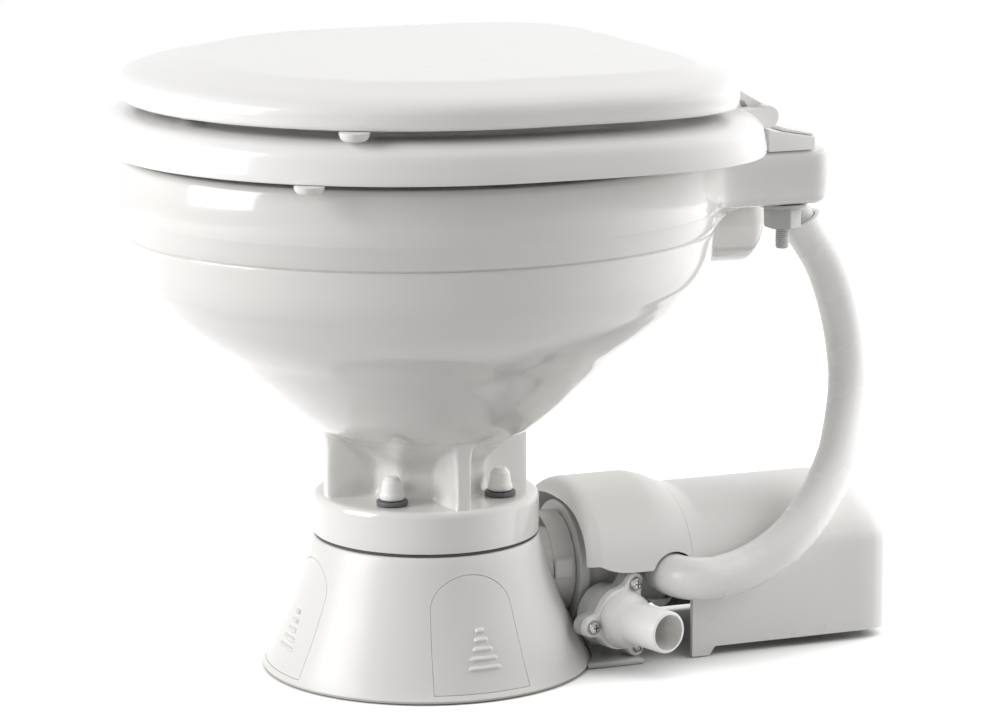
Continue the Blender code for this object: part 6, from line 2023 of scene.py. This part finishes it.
@dataclass
class Seat:
    """The seat ring with its two hinge ears and its buffers."""

    hinge: HingeLine
    foot_z: float = 0.3305
    thick: float = 0.025
    notch_front_y: float = 0.1775
    notch_rear_y: float = 0.2
    notch_play: float = 0.0015
    root_length: float = 0.0225
    steps: int = 216

    OUTLINE = Plan(0.185, 0.199, 0.187, 2.05, 3.6)
    HOLE = Plan(0.110, 0.142, 0.118, 2.1, 2.1)
    BUFFERS = ((0.145, 0.125), (0.135, -0.095))
    BUFFER_HEIGHTS = (0.3258, 0.3302)
    # The ring's section: share from the hole to the outside, and share of its height.
    SECTION = (
        (0.0, 0.22), (0.0, 0.52), (0.02, 0.70), (0.08, 0.85), (0.18, 0.94), (0.30, 0.985), (0.46, 1.0),
        (0.64, 0.995), (0.78, 0.955), (0.88, 0.875), (0.945, 0.75), (0.975, 0.60), (0.99, 0.36), (1.0, 0.10),
        (0.996, 0.02), (0.985, 0.0), (0.93, 0.0), (0.5, 0.0), (0.08, 0.0), (0.02, 0.05),
    )

    def ring(self) -> bpy.types.Object:
        """The crowned ring.

        Returns:
            The ring, without its ears and notches.
        """
        turns = full_turn(self.steps)
        outer = [self.OUTLINE.radius(turn) for turn in turns]
        inner = [self.HOLE.radius(turn) for turn in turns]
        rings = []
        for reach, height in flowing(self.SECTION, 3, looped=True):
            radii = [low + reach * (high - low) for low, high in zip(inner, outer)]
            rings.append(plan_ring(turns, radii, self.foot_z + height * self.thick))
        return loft("seat", rings, looped=True)

    def build(self) -> None:
        """Builds and dresses the seat and its buffers."""
        hinge = self.hinge
        seat = self.ring()
        ears, notches, holes = [], [], []
        foot, top = hinge.z - hinge.knuckle_r, hinge.z + hinge.knuckle_r * 0.82
        near, far = hinge.ear_inner_x, hinge.ear_inner_x + hinge.ear_thick
        low, high = self.foot_z - 2 * OVERRUN, self.foot_z + self.thick + OVERRUN
        for side in Side:
            start, end = hinge.span(side, hinge.block_inner_x - self.notch_play, near + GAP)
            notches.append(box("notch", (start, self.notch_front_y, low), (end, self.notch_rear_y, high)))
            ears.append(hinge.knuckle("ear", side, near, far))
            start, end = hinge.span(side, near, far)
            root = box("root", (start, hinge.y - self.root_length, foot), (end, hinge.y, top))
            ears.append(softened(root, 0.0008))
            holes.append(hinge.pin_hole(side, near - OVERRUN, near + hinge.ear_thick * hinge.pin_share))
        cut(fused(seat, *ears), *notches, *holes)
        hand_over(seat, SEAT_WHITE, Body.SEAT, "seat_ring")
        buffers("seat_buffer", self.BUFFERS, *self.BUFFER_HEIGHTS, Body.SEAT, "seat_bumper")


@dataclass
class Lid:
    """The lid with its raised flat, its hollow underside, hinge arms and buffers."""

    hinge: HingeLine
    foot_z: float = 0.361
    rise: float = 0.0245
    arm_y: float = 0.156
    arm_foot_y: float = 0.164
    steps: int = 216

    FLAT = Plan(0.143, 0.142, 0.142, 2.1, 5.0)
    RIM = Plan(0.178, 0.189, 0.164, 2.05, 4.2)
    BUFFERS = ((0.152, 0.100), (0.030, 0.158))
    BUFFER_HEIGHTS = (0.3558, 0.3607)
    # Heights of the lid's middle, of the rings next to it and of the hollow's middle, as shares of its rise.
    MIDDLE, NEXT, UNDER = 1.0, 0.9995, 0.835
    # From the middle of the top outwards and round to the hollow underside: share from the flat to the rim,
    # and share of the rise.
    OUTER = (
        (-0.55, 0.998), (-0.25, 0.994), (-0.10, 0.988), (-0.03, 0.978), (0.03, 0.960), (0.12, 0.930),
        (0.32, 0.865), (0.55, 0.797), (0.74, 0.725), (0.87, 0.640), (0.955, 0.53), (0.993, 0.40), (1.0, 0.28),
        (0.992, 0.14), (0.97, 0.045), (0.93, 0.0), (0.87, 0.0), (0.81, 0.02), (0.775, 0.08), (0.755, 0.2),
        (0.72, 0.34), (0.64, 0.47), (0.50, 0.58), (0.25, 0.70), (0.0, 0.78), (-0.3, 0.815), (-0.8, 0.83),
    )

    def radii(self, turns: Sequence[float], share: float) -> list[float]:
        """The outline's radii between the flat top and the rim.

        Args:
            turns: Angles from the rear.
            share: 0 for the flat top's outline, 1 for the rim's.

        Returns:
            A radius for each angle.
        """
        made = []
        for turn in turns:
            flat = self.FLAT.radius(turn)
            made.append(flat + share * (self.RIM.radius(turn) - flat))
        return made

    def ring(self, turns: Sequence[float], share: float, height: float, scale: float = 1.0) -> Ring:
        """One level ring of the lid's skin.

        Args:
            turns: Angles from the rear.
            share: 0 for the flat top's outline, 1 for the rim's.
            height: Share of the lid's rise.
            scale: How far the ring is drawn in towards the middle.

        Returns:
            The ring's points.
        """
        radii = [radius * scale for radius in self.radii(turns, share)]
        return plan_ring(turns, radii, self.foot_z + height * self.rise)

    def shell(self) -> bpy.types.Object:
        """The lid's skin, closed in the middle of its top and underside.

        Returns:
            The skin.
        """
        turns = full_turn(self.steps)
        rings = [[Vector((0, 0, self.foot_z + self.MIDDLE * self.rise))]]
        rings += [self.ring(turns, self.OUTER[0][0], self.NEXT, scale) for scale in (0.3, 0.6, 0.85)]
        rings += [self.ring(turns, share, height) for share, height in flowing(self.OUTER, 3)]
        rings.append([Vector((0, 0, self.foot_z + self.UNDER * self.rise))])
        return loft("lid_shell", rings)

    def build(self) -> None:
        """Builds and dresses the lid and its buffers."""
        hinge = self.hinge
        lid = self.shell()
        arms, holes = [], []
        y, z, r = hinge.y, hinge.z, hinge.knuckle_r
        outline = (
            (y - r * 0.95, z + r * 0.31), (y + r * 0.1, z + r * 0.99), (y - r, z + r * 1.6),
            (self.arm_y, self.foot_z + self.rise * 0.48), (self.arm_y, self.foot_z + self.rise * 0.05),
            (self.arm_foot_y, self.foot_z - GAP), (y - r * 1.6, z + r * 1.3),
        )
        near, far = hinge.arm_inner_x, hinge.arm_inner_x + hinge.arm_thick
        for side in Side:
            arms.append(side_prism("arm", outline, *hinge.span(side, near, far)))
            arms.append(hinge.knuckle("knuckle", side, near, far))
            holes.append(hinge.pin_hole(side, near - OVERRUN, far + OVERRUN))
        cut(fused(lid, *arms), *holes)
        hand_over(lid, SEAT_WHITE, Body.LID, "lid")
        buffers("lid_buffer", self.BUFFERS, *self.BUFFER_HEIGHTS, Body.LID, "lid_bumper")


@dataclass
class HingeSide:
    """The fixed pieces of one hinge: block, sloping cap, pin, bolt and nut."""

    hinge: HingeLine
    side: Side
    foot_z: float = 0.3258
    front_y: float = 0.1888
    rear_y: float = 0.2208
    front_height: float = 0.0137
    rear_height: float = 0.0082
    cap_thick: float = 0.002
    bolt_x: float = 0.0765
    bolt_y: float = 0.2075
    bolt_r: float = 0.0044
    bolt_end_z: float = 0.2625
    head_r: float = 0.0075
    head_foot: float = 0.0045
    head_top: float = 0.0085
    thread_length: float = 0.052
    thread_pitch: float = 0.00125
    thread_depth: float = 0.00042
    # The thread's free end: how narrow it starts, and the length over which it widens.
    thread_start: float = 0.78
    thread_ease: float = 0.0012
    thread_steps: int = 40
    thread_play: float = 0.0001
    nut_r: float = 0.0116
    nut_thick: float = 0.0132
    nut_top: float = 0.2911
    flange_r: float = 0.0148
    flange_thick: float = 0.0022

    def top(self, y: float) -> float:
        """Height of the sloping joint between the block and its cap."""
        share = (y - self.front_y) / (self.rear_y - self.front_y)
        return self.foot_z + self.front_height + share * (self.rear_height - self.front_height)

    def place(self) -> tuple[float, float, float]:
        """Where the bolt and the nut stand."""
        return self.side.value * self.bolt_x, self.bolt_y, 0.0

    def block(self) -> bpy.types.Object:
        """The block with its lug, pin hole and room for the lid's knuckle.

        Returns:
            The block.
        """
        hinge, side = self.hinge, self.side
        inner, outer = hinge.block_inner_x, hinge.block_outer_x
        lug_end = inner + hinge.lug_thick
        outline = (
            (self.front_y, self.foot_z), (self.rear_y, self.foot_z),
            (self.rear_y - 0.0006, self.top(self.rear_y)), (self.front_y, self.top(self.front_y)),
        )
        block = side_prism("hinge_foot_" + side.word, outline, *hinge.span(side, inner, outer))
        block = softened(block, 0.0009)
        y, z, r = hinge.y, hinge.z, hinge.knuckle_r
        root_z = self.foot_z + r * 0.5
        root = (
            (y - r * 0.8, z - r * 0.6), (self.front_y - r * 0.6, root_z), (self.front_y + r * 1.4, root_z),
            (y + r * 0.9, z - r * 0.3),
        )
        lug = hinge.knuckle("lug", side, inner, lug_end)
        fused(block, lug, side_prism("root", root, *hinge.span(side, inner, lug_end)))
        room = hinge.span(side, lug_end + GAP, outer + OVERRUN)
        return cut(
            block,
            hinge.pin_hole(side, inner - OVERRUN, lug_end + OVERRUN),
            rod("room", r + 0.001, *room, Axis.ALONG_X, (0, y, z), 64),
        )

    def cap(self) -> bpy.types.Object:
        """The sloping cap over the bolt's head.

        Returns:
            The cap.
        """
        hinge = self.hinge
        low_y = self.front_y + hinge.knuckle_r * 1.45
        front_z, rear_z = self.top(low_y), self.top(self.rear_y)
        outline = (
            (low_y, front_z + GAP), (self.rear_y - 0.001, rear_z + GAP),
            (self.rear_y - 0.002, rear_z + self.cap_thick), (low_y + 0.001, front_z + GAP + self.cap_thick),
        )
        start, end = hinge.span(self.side, hinge.block_inner_x + 0.0005, hinge.block_outer_x - 0.0005)
        return softened(side_prism("hinge_lid_" + self.side.word, outline, start, end), 0.0007)

    def bolt(self) -> bpy.types.Object:
        """The bolt with a rolled thread on its free end.

        Returns:
            The bolt.
        """
        x, y, _ = place = self.place()
        start, length = self.bolt_end_z, self.thread_length
        rings = [[Vector((x, y, start))]]
        rows = int(length / self.thread_pitch) * 8
        for row in range(rows + 1):
            up = length * row / rows
            ease = self.thread_start + (1 - self.thread_start) * min(up / self.thread_ease, 1.0)
            ring = []
            for step, turn in enumerate(full_turn(self.thread_steps)):
                wave = (up / self.thread_pitch - step / self.thread_steps) % 1.0
                radius = (self.bolt_r - self.thread_depth * abs(2 * wave - 1)) * ease
                ring.append(Vector((x + radius * math.cos(turn), y + radius * math.sin(turn), start + up)))
            rings.append(ring)
        rings.append([Vector((x, y, start + length))])
        shank = loft("shank", rings)
        low, high = self.foot_z + self.head_foot, self.foot_z + self.head_top
        head = rod("head", self.head_r, low, high, place=place, steps=48, edge=0.0008)
        neck = rod("neck", self.bolt_r, start + length - 0.001, low + 0.0015, place=place, steps=40)
        return gathered("deck_bolt_" + self.side.word, [shank, neck, head])

    def nut(self) -> bpy.types.Object:
        """The hexagon nut with its washer face.

        Returns:
            The nut.
        """
        x, y, _ = place = self.place()
        top, radius, flange_z = self.nut_top, self.nut_r, self.nut_top - self.flange_thick
        foot = flange_z - self.nut_thick
        corners = [(x + radius * math.cos(turn), y + radius * math.sin(turn)) for turn in full_turn(6)]
        rings = [[Vector((*corner, z)) for corner in corners] for z in (foot, top - 0.0011)]
        nut = softened(loft("deck_nut_" + self.side.word, rings), 0.0009)
        crown = (
            (0, foot - 0.001), (radius * 0.93, foot - 0.001), (radius * 1.04, foot + 0.0022),
            (radius * 1.04, top), (0, top),
        )
        combine(nut, (turned("crown", crown, place=place, steps=64),), "INTERSECT")
        fused(nut, rod("flange", self.flange_r, flange_z, top, place=place, steps=72, edge=0.0006))
        depths = (foot - 2 * OVERRUN, top + 2 * OVERRUN)
        return cut(nut, rod("thread", self.bolt_r + self.thread_play, *depths, place=place, steps=40))

    def build(self) -> None:
        """Builds and dresses this side's hinge pieces."""
        word, hinge = self.side.word, self.hinge
        hand_over(self.block(), SEAT_WHITE, Body.TOILET, "hinge_block_" + word)
        hand_over(self.cap(), SEAT_WHITE, Body.TOILET, "hinge_cap_" + word)
        pin_end = hinge.ear_inner_x + hinge.ear_thick * hinge.pin_share - 0.001
        span = hinge.span(self.side, hinge.block_inner_x - 0.0005, pin_end)
        pin = rod("turning_pin_" + word, hinge.pin_r, *span, Axis.ALONG_X, (0, hinge.y, hinge.z), 32, 0.0004)
        hand_over(pin, BOLT_STEEL, Body.TOILET, "hinge_pin_" + word)
        hand_over(self.bolt(), NUT_GREY, Body.TOILET, "hinge_bolt_" + word)
        hand_over(self.nut(), NUT_GREY, Body.TOILET, "hinge_nut_" + word)


# Carried-over nodes


@dataclass(frozen=True)
class InnerWorks:
    """The CAD nodes that stay as they are and get a full finish: what is inside the pumps and the motor."""

    NODES = {
        MOTOR_BLACK: ("motor_case", "motor_end_bell"),
        CORE_IRON: ("armature_shaft",),
        BOLT_STEEL: (
            "front_bearing", "chopper_plate", "macerator_blade", "foot_bolt_1", "foot_bolt_2", "foot_bolt_3",
            "foot_bolt_4",
        ),
        BLACK_RUBBER: ("shaft_seal", "flexible_impeller", "joker_valve"),
        # The darker copy of the base plastic, painted shade.
        SHADED_PUMP_GREY: ("centrifugal_impeller",),
    }

    def dress(self) -> None:
        """Gives each carried-over node its finish."""
        for finish, nodes in self.NODES.items():
            for node in nodes:
                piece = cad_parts[node]
                piece.data.materials.clear()
                piece.data.materials.append(finish.material())
                log.info("%s: dressed in %s", node, finish.name)


# Setting


@dataclass
class Studio:
    """The floor, the light and the camera."""

    camera_place: tuple[float, float, float] = (2.2598, -0.8517, 0.6762)
    camera_tilt: float = 78.68
    camera_turn: float = 68.25
    lens: float = 142.6
    film_width: float = 36.0
    clip: tuple[float, float] = (0.05, 40.0)
    sky_light: float = 0.26
    sky_tone: tuple[float, float, float, float] = (1.0, 0.995, 0.985, 1.0)
    floor_half: float = 1.6
    floor_z: float = -0.0004
    floor_tones: tuple[tuple[float, float, float], ...] = ((0.50, 0.50, 0.495), (0.51, 0.51, 0.505))
    # The floor's camera-ray glow dims near the object through ambient occlusion, a painted contact shadow:
    # how far it reaches, and the glow there and in the open.
    painted_shadow_reach: float = 0.10
    painted_shadow_glow: tuple[float, float] = (0.02, 0.95)
    aim: tuple[float, float, float] = (0, 0.03, 0.2)

    # Name, place, width and height, power, and whether it shows in glossy surfaces.
    LAMPS = (
        ("key_softbox", (-0.1, -1.9, 0.9), (1.2, 1.4), 39.0, True),
        ("top_softbox", (0.2, 0.5, 1.8), (1.3, 1.3), 3.0, False),
        ("rear_softbox", (0.0, 1.8, 0.8), (0.9, 1.2), 31.0, False),
        ("side_softbox", (1.0, 1.3, 1.1), (0.9, 0.9), 8.0, False),
    )

    def white_rays(self, tree: bpy.types.NodeTree) -> bpy.types.NodeSocket:
        """1 for rays from the camera, a mirror or glass, and 0 for the rays that light the object.

        Args:
            tree: The node tree to add to.

        Returns:
            The sum's output.
        """
        path = tree.nodes.new("ShaderNodeLightPath")
        rays = path.outputs["Is Camera Ray"]
        for kind in ("Is Glossy Ray", "Is Transmission Ray"):
            larger = tree.nodes.new("ShaderNodeMath")
            larger.operation = "MAXIMUM"
            tree.links.new(rays, larger.inputs[0])
            tree.links.new(path.outputs[kind], larger.inputs[1])
            rays = larger.outputs[0]
        return rays

    def sky(self) -> None:
        """A white surround that lights the object at a plain level."""
        world = bpy.data.worlds.new("studio_surround")
        bpy.context.scene.world = world
        world.use_nodes = True
        tree = world.node_tree
        tree.nodes.clear()
        mix = tree.nodes.new("ShaderNodeMixShader")
        tree.links.new(self.white_rays(tree), mix.inputs[0])
        white = (1.0, 1.0, 1.0, 1.0)
        for target, tone, strength in ((1, self.sky_tone, self.sky_light), (2, white, 1.0)):
            background = tree.nodes.new("ShaderNodeBackground")
            background.inputs["Color"].default_value = tone
            background.inputs["Strength"].default_value = strength
            tree.links.new(background.outputs[0], mix.inputs[target])
        end = tree.nodes.new("ShaderNodeOutputWorld")
        tree.links.new(mix.outputs[0], end.inputs["Surface"])

    def floor(self) -> None:
        """A plain pale floor that reads as white and keeps the object's shadow, with a painted contact shadow
        where its glow dims next to the object.
        """
        half = self.floor_half
        corners = [(-half, -half, 0), (half, -half, 0), (half, half, 0), (-half, half, 0)]
        floor = mesh_object("floor", corners, [(0, 1, 2, 3)])
        moved(floor, Matrix.Translation((0, 0, self.floor_z)))
        sheet = ShaderSheet("pale_floor")
        sheet.shader.inputs["Roughness"].default_value = 0.8
        tone = sheet.spread(sheet.noise(0.4, 2.0), 0.3, 0.7, 0.0, 1.0)
        sheet.join(sheet.blend(tone, *self.floor_tones), sheet.shader.inputs["Base Color"])
        glow = sheet.add("ShaderNodeEmission")
        # Painted contact shadow: ambient occlusion dims the floor's glow next to the object.
        corner = sheet.add("ShaderNodeAmbientOcclusion", samples=16)
        corner.inputs["Distance"].default_value = self.painted_shadow_reach
        sheet.join(sheet.spread(corner.outputs["AO"], 0.2, 0.9, *self.painted_shadow_glow), glow.inputs["Strength"])
        none = sheet.add("ShaderNodeEmission")
        none.inputs["Strength"].default_value = 0.0
        pick = sheet.add("ShaderNodeMixShader")
        both = sheet.add("ShaderNodeAddShader")
        for source, target in (
            (self.white_rays(sheet.tree), pick.inputs[0]),
            (none.outputs[0], pick.inputs[1]),
            (glow.outputs[0], pick.inputs[2]),
            (sheet.shader.outputs[0], both.inputs[0]),
            (pick.outputs[0], both.inputs[1]),
            (both.outputs[0], sheet.tree.nodes["Material Output"].inputs["Surface"]),
        ):
            sheet.join(source, target)
        floor.data.materials.append(sheet.material)

    def lamp(
        self, name: str, place: Sequence[float], size: tuple[float, float], watts: float, glossy: bool,
    ) -> None:
        """A soft rectangular lamp that faces the toilet.

        Args:
            name: The lamp's name.
            place: Where it stands.
            size: Its width and height.
            watts: Its power.
            glossy: Whether it shows in glossy surfaces.
        """
        light = bpy.data.lights.new(name, "AREA")
        light.shape = "RECTANGLE"
        light.size, light.size_y = size
        light.energy = watts
        lamp = bpy.data.objects.new(name, light)
        bpy.context.scene.collection.objects.link(lamp)
        lamp.visible_glossy = glossy
        lamp.location = place
        lamp.rotation_euler = (Vector(self.aim) - Vector(place)).to_track_quat("-Z", "Y").to_euler()

    def camera(self) -> None:
        """The camera at the photograph's angle."""
        lens = bpy.data.cameras.new("camera")
        lens.sensor_width = self.film_width
        lens.lens = self.lens
        lens.clip_start, lens.clip_end = self.clip
        made = bpy.data.objects.new("camera", lens)
        bpy.context.scene.collection.objects.link(made)
        made.location = self.camera_place
        made.rotation_euler = (math.radians(self.camera_tilt), 0, math.radians(self.camera_turn))
        bpy.context.scene.camera = made

    def build(self) -> None:
        """Sets the whole stage."""
        bpy.context.scene.view_settings.view_transform = "Standard"
        self.camera()
        self.sky()
        self.floor()
        for lamp in self.LAMPS:
            self.lamp(*lamp)


def main() -> None:
    """Builds the toilet from the stage up."""
    logging.basicConfig(level=logging.INFO, format="%(name)s: %(message)s")
    Studio().build()
    RinseLine().build()
    Bowl().build()
    Base().build()
    FootFixings().build()
    outlet = DischargeEnd()
    outlet.build()
    PumpHousings().build(outlet)
    MotorCover().build()
    hinge = HingeLine()
    Seat(hinge).build()
    Lid(hinge).build()
    for side in Side:
        HingeSide(hinge, side).build()
    InnerWorks().dress()


if __name__ == "__main__":
    main()
